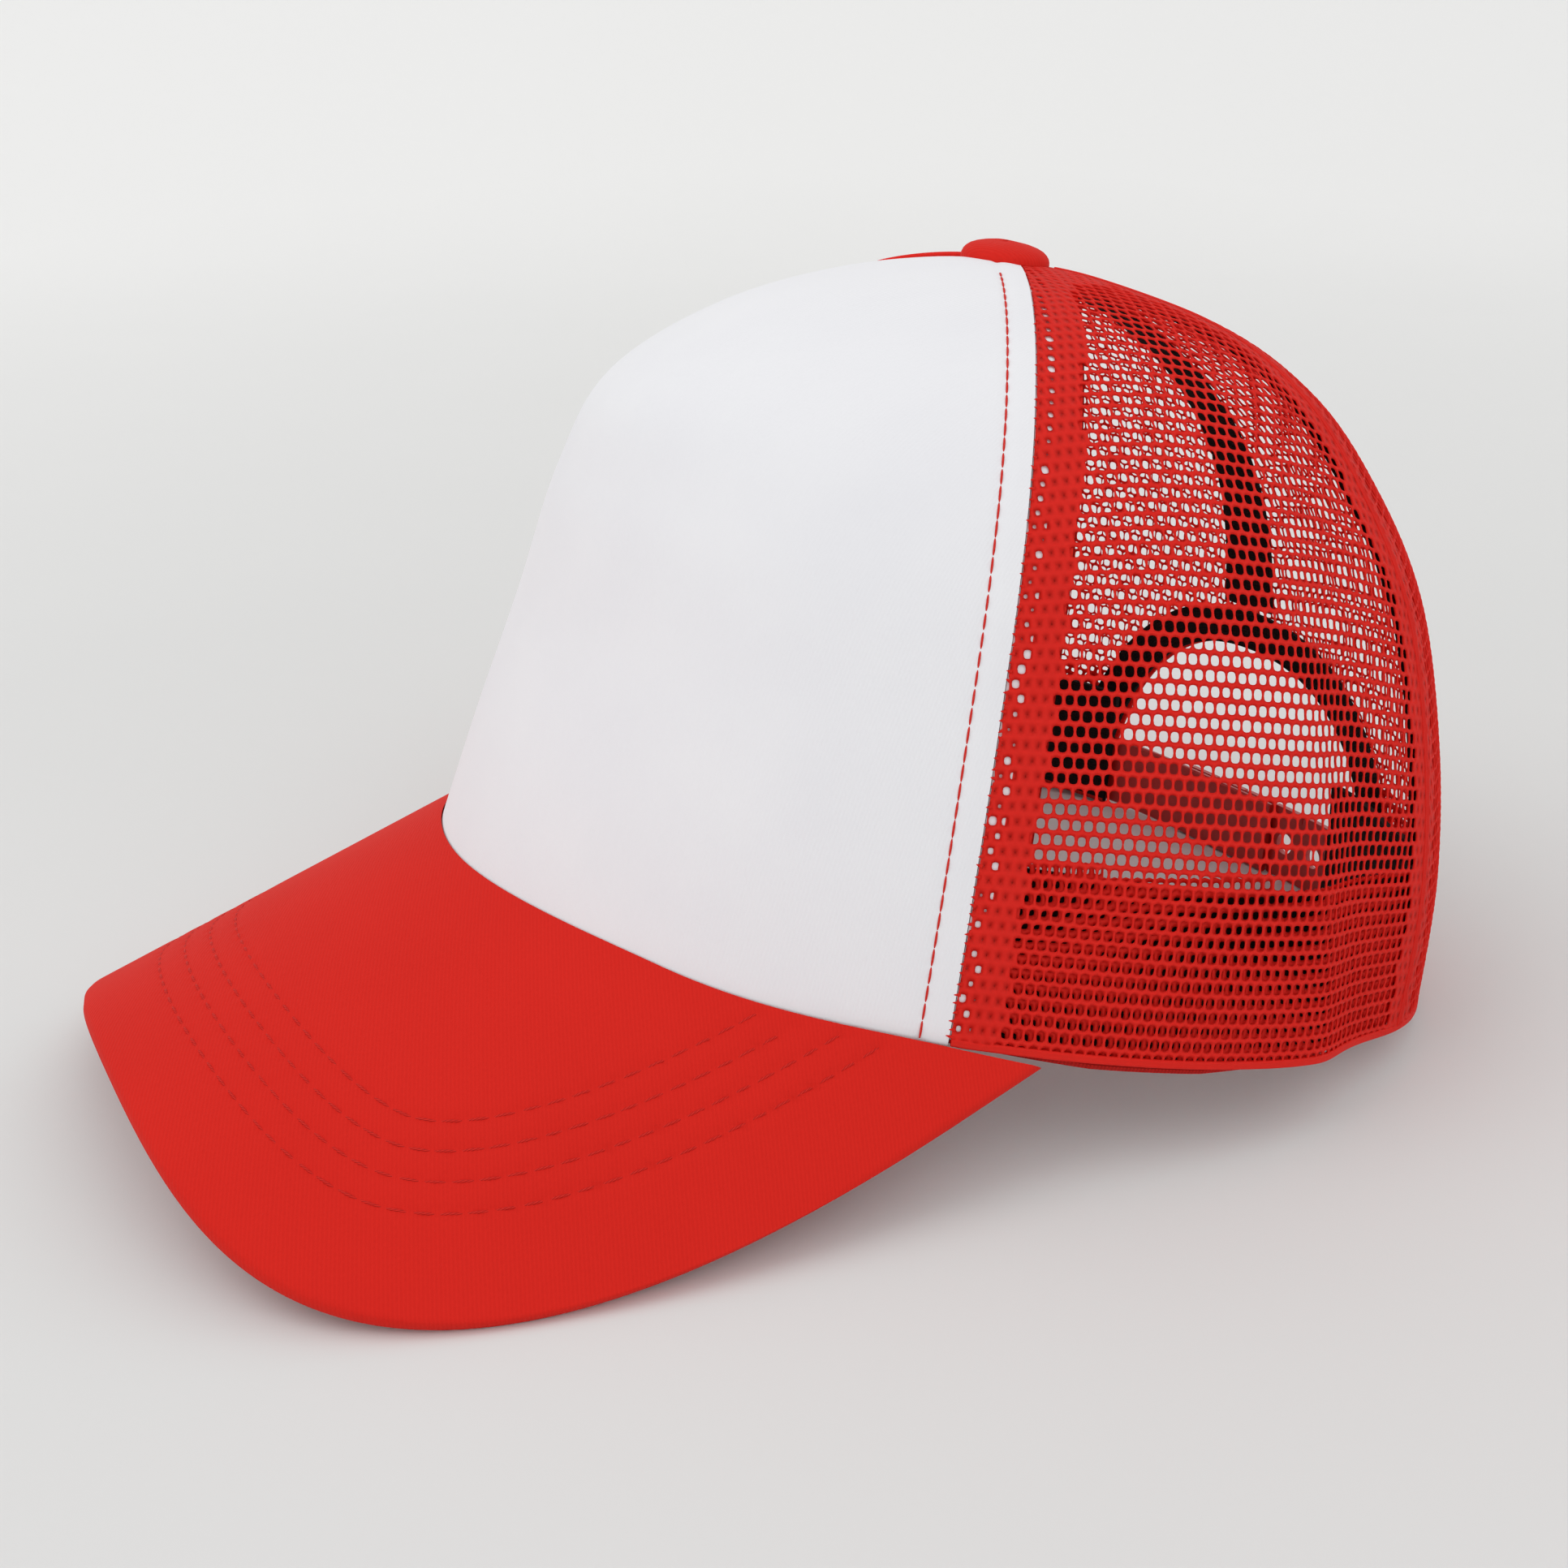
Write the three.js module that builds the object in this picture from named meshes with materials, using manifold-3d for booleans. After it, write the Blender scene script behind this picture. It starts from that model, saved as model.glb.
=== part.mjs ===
// A trucker hat with a foam front panel, mesh back, arched bill and snap strap, resting on its bill.
// Millimetres. The bill points to -Y, the wearer's left is +X and +Z is up.
import * as THREE from 'three';
import { mergeVertices } from 'three/addons/utils/BufferGeometryUtils.js';
import Module from 'manifold-3d';

const wasm = await Module();
wasm.setup();

// Driving sizes of the crown
const RIM_RADIUS = 93;
const CROWN_HEIGHT = 119.3;
const FRONT_SEAM_DEGREES = 60.5;
const BACK_SEAM_DEGREES = 118;
const CROWN_TOP_ROW = 7;

// Cloth thicknesses, the clearance between pieces, and that between curved layers, which are faceted apart
const FOAM_THICKNESS = 3;
const MESH_THICKNESS = 1;
const BAND_THICKNESS = 1.2;
const TAPE_THICKNESS = 0.8;
const PIECE_GAP = 0.3;
const LAYER_GAP = 0.6;

// Driving sizes of the bill
const BILL_ARCH_RADIUS = 109;
const BILL_PITCH_DEGREES = 28.5;
const BILL_CORNER_DEGREES = 70.8;
const BILL_CORNER_DROP = 1.1;
const BILL_REACH = 111.4;
const BILL_SIDE_LENGTH = 10.2;
const BILL_THICKNESS = 3.5;
const BILL_ROUND_ACROSS = 4.1;
const BILL_ROUND_ALONG = 2.54;

// Driving sizes of the back opening and what edges it
const OPENING_HALF_WIDTH = 41;
const OPENING_HEIGHT = 48;
const OPENING_ROUND = 2.2;
const BINDING_WIDTH = 8;
const BINDING_FOOT = 1.5;

// Driving sizes of the snap strap
const STRAP_WIDTH = 15.5;
const STRAP_LIFT = 1.5;
const STRAP_THICKNESS = 1.2;
const STRAP_TUCK = 12;
const STRAP_OVERLAP = 13.7;
const SNAP_PITCH = 9;
const SNAP_COUNT = 6;
const SNAP_SHARED = 3;
const STUD_DIAMETER = 4;
const STUD_PROUD = 1;
const HOLE_DIAMETER = STUD_DIAMETER + 2 * PIECE_GAP;
const SNAP_SIDES = 10;

// Driving sizes of the sweatband, tapes and button
const BAND_HEIGHT = 29;
const BAND_PEEK = 1.3;
const BAND_END_DEGREES = 157;
const TAPE_WIDTH = 11;
const CENTRE_TAPE_WIDTH = 16;
const FRONT_TAPE_WIDTH = 8;
const TAPE_END_RADIUS = 15;
const BUTTON_DIAMETER = 16.2;
const BUTTON_HEIGHT = 3.5;
const BUTTON_HOLLOW = 0.8;
const BUTTON_HOLLOW_SHARE = 0.55;
const BUTTON_FORWARD = 2.4;
const BUTTON_LEAN_DEGREES = 5;
const BUTTON_SIDES = 28;

// How deep the cloth is pressed flat where the hat rests, and the creases of the near side panel
const REST_PRESS = 0.9;
const CREASE_RIDGE = 1.8;
const CREASE_HOLLOW = 1.6;
const CREASE_FRONT_DEGREES = 15;
const CREASE_BACK_DEGREES = 5;
const CREASE_HOLLOW_DEGREES = 7;
const CREASE_STEP_DEGREES = 10;

// Facets along and across the pieces
const FRONT_COLUMNS = 32;
const FRONT_ROWS = 15;
const SIDE_COLUMNS = 15;
const SIDE_ROWS = 16;
const BACK_OUTER_COLUMNS = 6;
const BACK_ARCH_COLUMNS = 11;
const BACK_ROWS = 15;
const BILL_COLUMNS = 40;
const BILL_ROWS = 8;
const BAND_COLUMNS = 56;
const BAND_ROWS = 2;
const TAPE_ROWS = 15;
const TAPE_COLUMNS = 1;
const BINDING_STEPS = 34;
const STRAP_STEPS = 22;

// The rim's radius around the wearer's head, as a share of RIM_RADIUS, every 30 degrees from the front
const RIM_STEP_DEGREES = 30;
const RIM_SHAPE = [
  { radius: 1.032 },
  { radius: 0.976 },
  { radius: 0.926 },
  { radius: 0.983 },
  { radius: 1.067 },
  { radius: 1.038 },
  { radius: 0.969 },
];

// One row per height up the crown: height is a share of CROWN_HEIGHT, the rest are shares of the rim's radius
const CROWN_SECTIONS = [
  { height: 0, front: 1, seam: 1, side: 1, back: 1 },
  { height: 0.2, front: 0.943, seam: 0.967, side: 0.982, back: 0.965 },
  { height: 0.4, front: 0.884, seam: 0.916, side: 0.93, back: 0.905 },
  { height: 0.6, front: 0.843, seam: 0.842, side: 0.842, back: 0.828 },
  { height: 0.75, front: 0.776, seam: 0.723, side: 0.722, back: 0.711 },
  { height: 0.87, front: 0.58, seam: 0.54, side: 0.585, back: 0.53 },
  { height: 0.95, front: 0.33, seam: 0.325, side: 0.39, back: 0.31 },
  { height: 1, front: 0.045, seam: 0.05, side: 0.05, back: 0.05 },
];
const SECTION_COLUMNS = [
  { name: 'front', degrees: 0 },
  { name: 'seam', degrees: 55 },
  { name: 'side', degrees: 110 },
  { name: 'back', degrees: 180 },
];

// The upright crease of the wearer's left side panel: where it runs and how strong it is at each height
const SIDE_CREASE = [
  { height: 0, degrees: 101, strength: 1 },
  { height: 0.25, degrees: 97.6, strength: 1 },
  { height: 0.5, degrees: 95, strength: 0.85 },
  { height: 0.65, degrees: 94.5, strength: 0.7 },
  { height: 0.8, degrees: 99.5, strength: 0.5 },
  { height: 0.9, degrees: 106, strength: 0.25 },
  { height: 1, degrees: 110, strength: 0 },
];

// How far the sweatband's outer face lies inside the crown's surface, and how its lower edge drops
const BACK_LAYERS = MESH_THICKNESS + TAPE_THICKNESS + 2 * STRAP_THICKNESS + 4 * LAYER_GAP;
const BAND_COURSE = [
  { degrees: 0, inset: FOAM_THICKNESS + LAYER_GAP, drop: -0.6 },
  { degrees: 50, inset: FOAM_THICKNESS + LAYER_GAP, drop: -0.6 },
  { degrees: 62, inset: FOAM_THICKNESS + LAYER_GAP, drop: 0.2 },
  { degrees: 76, inset: MESH_THICKNESS + 2 * LAYER_GAP, drop: 1 },
  { degrees: 88, inset: MESH_THICKNESS + 2 * LAYER_GAP, drop: 1 },
  { degrees: 100, inset: MESH_THICKNESS + 2 * LAYER_GAP, drop: -0.4 },
  { degrees: 125, inset: MESH_THICKNESS + 2 * LAYER_GAP, drop: -1.2 },
  { degrees: 139, inset: BACK_LAYERS, drop: -1.2 },
  { degrees: 180, inset: BACK_LAYERS, drop: -1.2 },
];

// The covered button's outside, as shares of its radius and height
const BUTTON_PROFILE = [
  { radius: 0.93, height: 0 },
  { radius: 1, height: 0.22 },
  { radius: 0.97, height: 0.5 },
  { radius: 0.8, height: 0.78 },
  { radius: 0.45, height: 0.95 },
  { radius: 0, height: 1 },
];

const FULL_TURN = Math.PI * 2;
const SMALL_STEP = 0.002;
const SOLVE_STEPS = 34;
const REST_SWEEP = Math.PI / 3;
const UP = new THREE.Vector3(0, 0, 1);

function radians(degrees) {
  return degrees * Math.PI / 180;
}

function wrapped(angle) {
  return angle - FULL_TURN * Math.round(angle / FULL_TURN);
}

function smooth(share) {
  const held = Math.min(Math.max(share, 0), 1);
  return held * held * (3 - 2 * held);
}

// A smooth curve through four values in a row, between the middle two
function curveThrough(before, start, end, after, share) {
  const startSlope = (end - before) / 2;
  const endSlope = (after - start) / 2;
  const square = share * share;
  const cube = square * share;
  return (2 * cube - 3 * square + 1) * start + (cube - 2 * square + share) * startSlope
    + (3 * square - 2 * cube) * end + (cube - square) * endSlope;
}

// A value of a table's column between its rows; a mirrored table runs level at both ends
function alongRows(table, column, position, mirrored) {
  const last = table.length - 1;
  const row = Math.min(Math.max(Math.floor(position), 0), last - 1);
  const start = table[row][column];
  const end = table[row + 1][column];
  const beforeRow = mirrored ? Math.abs(row - 1) : Math.max(row - 1, 0);
  const afterRow = mirrored ? last - Math.abs(last - row - 2) : Math.min(row + 2, last);
  return curveThrough(table[beforeRow][column], start, end, table[afterRow][column], position - row);
}

// A straight-line value of a table's column, where another column says where each row lies
function between(table, key, column, value) {
  let row = 0;
  while (row < table.length - 2 && table[row + 1][key] < value) {
    row += 1;
  }
  const span = table[row + 1][key] - table[row][key];
  const share = Math.min(Math.max((value - table[row][key]) / span, 0), 1);
  return table[row][column] * (1 - share) + table[row + 1][column] * share;
}

// The root of a rising function between two ends
function solve(risingTo, low, high, target) {
  let below = low;
  let above = high;
  for (let step = 0; step < SOLVE_STEPS; step += 1) {
    const middle = (below + above) / 2;
    if (risingTo(middle) < target) {
      below = middle;
    } else {
      above = middle;
    }
  }
  return (below + above) / 2;
}

function crownHeight(position) {
  return CROWN_HEIGHT * alongRows(CROWN_SECTIONS, 'height', position, false);
}

function positionAtHeight(height) {
  return solve(crownHeight, 0, CROWN_SECTIONS.length - 1, height);
}

// The crease pushes a ridge out, gently from the front and steeply behind, and a hollow in after it
function creaseOffset(angle, heightShare) {
  const degrees = wrapped(angle) * 180 / Math.PI;
  const centre = between(SIDE_CREASE, 'height', 'degrees', heightShare);
  const strength = between(SIDE_CREASE, 'height', 'strength', heightShare);
  const ridgeWidth = degrees < centre ? CREASE_FRONT_DEGREES : CREASE_BACK_DEGREES;
  const fromRidge = (degrees - centre) / ridgeWidth;
  const fromHollow = (degrees - centre - CREASE_STEP_DEGREES) / CREASE_HOLLOW_DEGREES;
  const ridge = CREASE_RIDGE * Math.exp(-fromRidge * fromRidge);
  const hollow = CREASE_HOLLOW * Math.exp(-fromHollow * fromHollow);
  return strength * (ridge - hollow);
}

function crownRadius(angle, position) {
  const degrees = Math.abs(wrapped(angle)) * 180 / Math.PI;
  const rim = RIM_RADIUS * alongRows(RIM_SHAPE, 'radius', degrees / RIM_STEP_DEGREES, true);
  let column = 0;
  while (column < SECTION_COLUMNS.length - 2 && SECTION_COLUMNS[column + 1].degrees < degrees) {
    column += 1;
  }
  const from = SECTION_COLUMNS[column];
  const to = SECTION_COLUMNS[column + 1];
  const share = smooth((degrees - from.degrees) / (to.degrees - from.degrees));
  const fromRadius = alongRows(CROWN_SECTIONS, from.name, position, false);
  const toRadius = alongRows(CROWN_SECTIONS, to.name, position, false);
  const heightShare = crownHeight(position) / CROWN_HEIGHT;
  return rim * (fromRadius * (1 - share) + toRadius * share) + creaseOffset(angle, heightShare);
}

function crownPoint(angle, position) {
  const radius = crownRadius(angle, position);
  return new THREE.Vector3(radius * Math.sin(angle), -radius * Math.cos(angle), crownHeight(position));
}

// A point that lies a depth inside the crown's surface
function insidePoint(angle, position, depth) {
  const low = Math.max(position - SMALL_STEP, 0);
  const high = Math.min(position + SMALL_STEP, CROWN_SECTIONS.length - 1);
  const across = crownPoint(angle + SMALL_STEP, position).sub(crownPoint(angle - SMALL_STEP, position));
  const upward = crownPoint(angle, high).sub(crownPoint(angle, low));
  const outward = across.cross(upward).normalize();
  return crownPoint(angle, position).addScaledVector(outward, -depth);
}

// The same point moved sideways, by a distance along the surface
function shiftedPoint(angle, position, depth, sideways) {
  const near = insidePoint(angle, position, depth);
  const radius = Math.max(Math.hypot(near.x, near.y), 1);
  return insidePoint(angle + sideways / radius, position, depth);
}

// The crown's angle at a distance across from its middle plane, on the front or on the back
function angleAcross(across, position, depth, onBack) {
  const size = Math.abs(across);
  const rising = (turn) => Math.abs(insidePoint(onBack ? Math.PI - turn : turn, position, depth).x);
  const turn = solve(rising, 0, Math.PI / 2, size);
  const angle = onBack ? Math.PI - turn : turn;
  return across < 0 ? -angle : angle;
}

// Closed shell between an outer and an inner grid of points
function shell(outer, inner) {
  const rows = outer.length;
  const columns = outer[0].length;
  const positions = [];
  const indices = [];
  for (const grid of [outer, inner]) {
    for (const row of grid) {
      for (const point of row) {
        positions.push(point.x, point.y, point.z);
      }
    }
  }
  const at = (layer, row, column) => layer * rows * columns + row * columns + column;
  const quad = (a, b, c, d) => indices.push(a, b, c, a, c, d);
  for (let row = 0; row < rows - 1; row += 1) {
    for (let column = 0; column < columns - 1; column += 1) {
      quad(at(0, row, column), at(0, row, column + 1), at(0, row + 1, column + 1), at(0, row + 1, column));
      quad(at(1, row, column), at(1, row + 1, column), at(1, row + 1, column + 1), at(1, row, column + 1));
    }
  }
  for (let column = 0; column < columns - 1; column += 1) {
    const top = rows - 1;
    quad(at(1, 0, column), at(1, 0, column + 1), at(0, 0, column + 1), at(0, 0, column));
    quad(at(0, top, column), at(0, top, column + 1), at(1, top, column + 1), at(1, top, column));
  }
  for (let row = 0; row < rows - 1; row += 1) {
    const end = columns - 1;
    quad(at(0, row, 0), at(0, row + 1, 0), at(1, row + 1, 0), at(1, row, 0));
    quad(at(1, row, end), at(1, row + 1, end), at(0, row + 1, end), at(0, row, end));
  }
  return facingOut(positions, indices);
}

// Turns the triangles over where the solid would be inside out
function facingOut(positions, indices) {
  const corner = (index) => new THREE.Vector3().fromArray(positions, index * 3);
  let volume = 0;
  for (let start = 0; start < indices.length; start += 3) {
    const [a, b, c] = [0, 1, 2].map((step) => corner(indices[start + step]));
    volume += a.dot(b.cross(c));
  }
  if (volume < 0) {
    indices.reverse();
  }
  const geometry = new THREE.BufferGeometry();
  geometry.setAttribute('position', new THREE.Float32BufferAttribute(positions, 3));
  geometry.setIndex(indices);
  return geometry;
}

// Points of a panel: one column per angle, rows from each column's foot to the crown's top
function panelGrid(angles, rows, footOf, depth, topPosition) {
  const grid = [];
  const feet = angles.map((angle, column) => positionAtHeight(footOf(angle, column)));
  for (let row = 0; row <= rows; row += 1) {
    const line = [];
    angles.forEach((angle, column) => {
      const position = feet[column] + (topPosition - feet[column]) * row / rows;
      const first = column === 0 ? PIECE_GAP / 2 : 0;
      const last = column === angles.length - 1 ? -PIECE_GAP / 2 : 0;
      line.push(shiftedPoint(angle, position, depth, first + last));
    });
    grid.push(line);
  }
  return grid;
}

function evenAngles(from, to, columns) {
  return Array.from({ length: columns + 1 }, (_, column) => from + (to - from) * column / columns);
}

// The bill's two corners meet the rim's outside, a little under its level, and set the arch's turn and height
const billPitch = radians(BILL_PITCH_DEGREES);
const billCorner = crownPoint(radians(BILL_CORNER_DEGREES), 0);
const billHalfTurn = Math.asin(billCorner.x / BILL_ARCH_RADIUS);
const billCornerRise = -billCorner.y * Math.sin(billPitch) - BILL_CORNER_DROP * Math.cos(billPitch);
const billCornerReach = -billCorner.y * Math.cos(billPitch) + BILL_CORNER_DROP * Math.sin(billPitch);
const billArchTop = billCornerRise + BILL_ARCH_RADIUS * (1 - Math.cos(billHalfTurn));

// The bill's surface: across is its share from the middle to a side, depth lies under its top face
function billPoint(across, reach, depth) {
  const turn = across * billHalfTurn;
  const radius = BILL_ARCH_RADIUS - depth;
  const rise = billArchTop - BILL_ARCH_RADIUS + radius * Math.cos(turn);
  return new THREE.Vector3(
    radius * Math.sin(turn),
    -reach * Math.cos(billPitch) - rise * Math.sin(billPitch),
    rise * Math.cos(billPitch) - reach * Math.sin(billPitch),
  );
}

// How far along the bill its surface meets the crown's wall
function billRoot(across, depth) {
  let reach = billCornerReach;
  for (let step = 0; step < 6; step += 1) {
    const point = billPoint(across, reach, depth);
    const position = positionAtHeight(Math.max(point.z, 0));
    const angle = angleAcross(Math.abs(point.x), position, 0, false);
    const wall = crownPoint(angle, position);
    const rise = billArchTop - BILL_ARCH_RADIUS
      + (BILL_ARCH_RADIUS - depth) * Math.cos(across * billHalfTurn);
    reach = (-wall.y - rise * Math.sin(billPitch)) / Math.cos(billPitch);
  }
  return reach;
}

function billOutline(across) {
  const round = (1 - Math.abs(across) ** BILL_ROUND_ACROSS) ** (1 / BILL_ROUND_ALONG);
  return billCornerReach + BILL_SIDE_LENGTH + BILL_REACH * round;
}

// Where the crown's lower edge runs over the bill: height of the bill's seam at an angle of the crown
const SEAM_SAMPLES = 24;
const billSeam = [];
for (let step = 0; step <= SEAM_SAMPLES; step += 1) {
  const across = step / SEAM_SAMPLES;
  const point = billPoint(across, billRoot(across, 0), 0);
  billSeam.push({ angle: Math.atan2(point.x, -point.y), height: Math.max(point.z, 0) });
}
const billCornerAngle = billSeam[SEAM_SAMPLES].angle;

// The crown's lower edge: it covers the bill's rear edge at the front and runs out level at the corners
function crownFoot(angle) {
  const size = Math.abs(wrapped(angle));
  if (size > billCornerAngle) {
    return 0;
  }
  const cover = BILL_THICKNESS * (1 - smooth(size / billCornerAngle));
  return Math.max(between(billSeam, 'angle', 'height', size) - cover, 0);
}

// The rim's rearmost cloth is at the foot of the back opening
const rimFootAngle = angleAcross(OPENING_HALF_WIDTH, 0, 0, true);

// The plane that the hat rests on touches the bill's side edges and the back of the rim
function restingPlane() {
  const points = [];
  for (let step = 0; step <= BILL_COLUMNS; step += 1) {
    const across = step / BILL_COLUMNS;
    points.push(billPoint(across, billOutline(across), BILL_THICKNESS));
    points.push(insidePoint(rimFootAngle - REST_SWEEP * step / BILL_COLUMNS, 0, 0));
  }
  points.sort((one, other) => one.y - other.y);
  const hull = [];
  for (const point of points) {
    while (hull.length > 1) {
      const [back, front] = [hull[hull.length - 1], hull[hull.length - 2]];
      const turn = (back.y - front.y) * (point.z - front.z) - (back.z - front.z) * (point.y - front.y);
      if (turn > 0) {
        break;
      }
      hull.pop();
    }
    hull.push(point);
  }
  const end = hull.findIndex((point) => point.y > 0);
  const [front, back] = [hull[end - 1], hull[end]];
  const tilt = Math.atan2(back.z - front.z, back.y - front.y);
  const normal = new THREE.Vector3(0, -Math.sin(tilt), Math.cos(tilt));
  return { tilt, normal, level: normal.dot(front) + REST_PRESS };
}

const ground = restingPlane();

// Presses cloth flat where it would pass through the ground
function pressed(geometry) {
  const attribute = geometry.getAttribute('position');
  const point = new THREE.Vector3();
  for (let index = 0; index < attribute.count; index += 1) {
    point.fromBufferAttribute(attribute, index);
    const below = ground.level - ground.normal.dot(point);
    if (below > 0) {
      point.addScaledVector(ground.normal, below);
      attribute.setXYZ(index, point.x, point.y, point.z);
    }
  }
  return geometry;
}

// Colours and finishes
const whiteFoam = new THREE.MeshStandardMaterial({ color: '#ececee', roughness: 0.75, metalness: 0 });
const redMesh = new THREE.MeshStandardMaterial({ color: '#c8241d', roughness: 0.6, metalness: 0 });
const redTwill = new THREE.MeshStandardMaterial({ color: '#cf231c', roughness: 0.85, metalness: 0 });
const redPlastic = new THREE.MeshStandardMaterial({ color: '#b81f1a', roughness: 0.4, metalness: 0 });
const redBand = new THREE.MeshStandardMaterial({ color: '#b3201b', roughness: 0.9, metalness: 0 });
const darkTape = new THREE.MeshStandardMaterial({ color: '#2a1413', roughness: 0.9, metalness: 0 });

function named(name, geometry, material) {
  const mesh = new THREE.Mesh(geometry, material);
  mesh.name = name;
  return mesh;
}

function frontPanel() {
  const seam = radians(FRONT_SEAM_DEGREES);
  const angles = evenAngles(-seam, seam, FRONT_COLUMNS);
  const outer = panelGrid(angles, FRONT_ROWS, crownFoot, 0, CROWN_TOP_ROW);
  const inner = panelGrid(angles, FRONT_ROWS, crownFoot, FOAM_THICKNESS, CROWN_TOP_ROW);
  return named('front_panel', shell(outer, inner), whiteFoam);
}

function meshPanel(name, angles, rows, footOf) {
  const outer = panelGrid(angles, rows, footOf, 0, CROWN_TOP_ROW);
  const inner = panelGrid(angles, rows, footOf, MESH_THICKNESS, CROWN_TOP_ROW);
  return named(name, pressed(shell(outer, inner)), redMesh);
}

function sidePanel(name, side) {
  const ends = [side * radians(FRONT_SEAM_DEGREES), side * radians(BACK_SEAM_DEGREES)];
  ends.sort((one, other) => one - other);
  return meshPanel(name, evenAngles(ends[0], ends[1], SIDE_COLUMNS), SIDE_ROWS, crownFoot);
}

// The arched edge of the back opening, from its foot at one side to its top, as a distance across and up
function archPoint(turn) {
  const power = 2 / OPENING_ROUND;
  return {
    across: OPENING_HALF_WIDTH * Math.abs(Math.cos(turn)) ** power * Math.sign(Math.cos(turn)),
    height: OPENING_HEIGHT * Math.abs(Math.sin(turn)) ** power,
  };
}

function backPanel(name, side) {
  const angles = [];
  const feet = [];
  for (const angle of evenAngles(radians(BACK_SEAM_DEGREES), rimFootAngle, BACK_OUTER_COLUMNS)) {
    angles.push(side * angle);
    feet.push(0);
  }
  for (let step = 1; step <= BACK_ARCH_COLUMNS; step += 1) {
    const point = archPoint(Math.PI / 2 * step / BACK_ARCH_COLUMNS);
    const angle = angleAcross(Math.max(point.across, 0), positionAtHeight(point.height), 0, true);
    angles.push(side * angle);
    feet.push(point.height);
  }
  if (side < 0) {
    angles.reverse();
    feet.reverse();
  }
  return meshPanel(name, angles, BACK_ROWS, (angle, column) => feet[column]);
}

function bill() {
  const layers = [0, BILL_THICKNESS].map((depth) => {
    const grid = [];
    const lines = Array.from({ length: BILL_COLUMNS + 1 }, (_, column) => {
      const across = Math.sin(Math.PI / 2 * (2 * column / BILL_COLUMNS - 1));
      const root = billRoot(across, depth) + PIECE_GAP / Math.cos(billPitch);
      return { across, root, tip: Math.max(billOutline(across), root + 1) };
    });
    for (let row = 0; row <= BILL_ROWS; row += 1) {
      grid.push(lines.map(({ across, root, tip }) => (
        billPoint(across, root + (tip - root) * row / BILL_ROWS, depth)
      )));
    }
    return grid;
  });
  return named('bill', pressed(shell(layers[0], layers[1])), redTwill);
}

// The sweatband runs inside the rim, from one side of the back opening round the front to the other
function sweatband() {
  const end = radians(BAND_END_DEGREES);
  const layers = [0, BAND_THICKNESS].map((extra) => {
    const grid = [];
    for (let row = 0; row <= BAND_ROWS; row += 1) {
      grid.push(evenAngles(-end, end, BAND_COLUMNS).map((angle) => {
        const degrees = Math.abs(angle) * 180 / Math.PI;
        const inset = between(BAND_COURSE, 'degrees', 'inset', degrees) + extra;
        const drop = BAND_PEEK * between(BAND_COURSE, 'degrees', 'drop', degrees);
        const height = crownFoot(angle) + BAND_HEIGHT * row / BAND_ROWS;
        const point = insidePoint(angle, positionAtHeight(height), inset);
        point.z -= row === 0 ? drop : 0;
        return point;
      }));
    }
    return grid;
  });
  return named('sweatband', shell(layers[0], layers[1]), darkTape);
}

// A tape over a seam, on the inside: its two edges lie at a distance across from the seam's angle
function seamTape(name, degrees, fromEdge, toEdge, footHeight, material) {
  const depth = MESH_THICKNESS + LAYER_GAP;
  const foot = positionAtHeight(footHeight);
  const angle = radians(degrees);
  const radiusAt = (position) => -crownRadius(angle, position);
  const top = solve(radiusAt, foot, CROWN_TOP_ROW, -TAPE_END_RADIUS);
  const layers = [0, TAPE_THICKNESS].map((extra) => {
    const grid = [];
    for (let row = 0; row <= TAPE_ROWS; row += 1) {
      const position = foot + (top - foot) * row / TAPE_ROWS;
      const line = [];
      for (let column = 0; column <= TAPE_COLUMNS; column += 1) {
        const sideways = fromEdge + (toEdge - fromEdge) * column / TAPE_COLUMNS;
        line.push(shiftedPoint(angle, position, depth + extra, sideways));
      }
      grid.push(line);
    }
    return grid;
  });
  return named(name, shell(layers[0], layers[1]), material);
}

// The tape that edges the back opening, inside the mesh
function openingBinding() {
  const depth = MESH_THICKNESS + LAYER_GAP;
  const footTurn = Math.asin((BINDING_FOOT / OPENING_HEIGHT) ** (OPENING_ROUND / 2));
  const layers = [0, TAPE_THICKNESS].map((extra) => {
    const grid = [[], []];
    for (let step = 0; step <= BINDING_STEPS; step += 1) {
      const turn = footTurn + (Math.PI - 2 * footTurn) * step / BINDING_STEPS;
      const point = archPoint(turn);
      const ahead = archPoint(turn + SMALL_STEP);
      const behind = archPoint(turn - SMALL_STEP);
      const slope = new THREE.Vector2(behind.height - ahead.height, ahead.across - behind.across);
      slope.normalize();
      [0, BINDING_WIDTH].forEach((width, edge) => {
        const height = Math.max(point.height - slope.y * width, BINDING_FOOT);
        const across = point.across - slope.x * width;
        const position = positionAtHeight(height);
        grid[edge].push(insidePoint(angleAcross(across, position, depth, true), position, depth + extra));
      });
    }
    return grid;
  });
  return named('opening_binding', shell(layers[0], layers[1]), darkTape);
}

// One half of the snap strap as a bent band, between two distances across the back
function strapBand(fromAcross, toAcross, depth) {
  const layers = [0, STRAP_THICKNESS].map((extra) => (
    [STRAP_LIFT, STRAP_LIFT + STRAP_WIDTH].map((height) => {
      const position = positionAtHeight(height);
      return Array.from({ length: STRAP_STEPS + 1 }, (_, step) => {
        const across = fromAcross + (toAcross - fromAcross) * step / STRAP_STEPS;
        return insidePoint(angleAcross(across, position, depth, true), position, depth + extra);
      });
    })
  ));
  return shell(layers[0], layers[1]);
}

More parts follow.
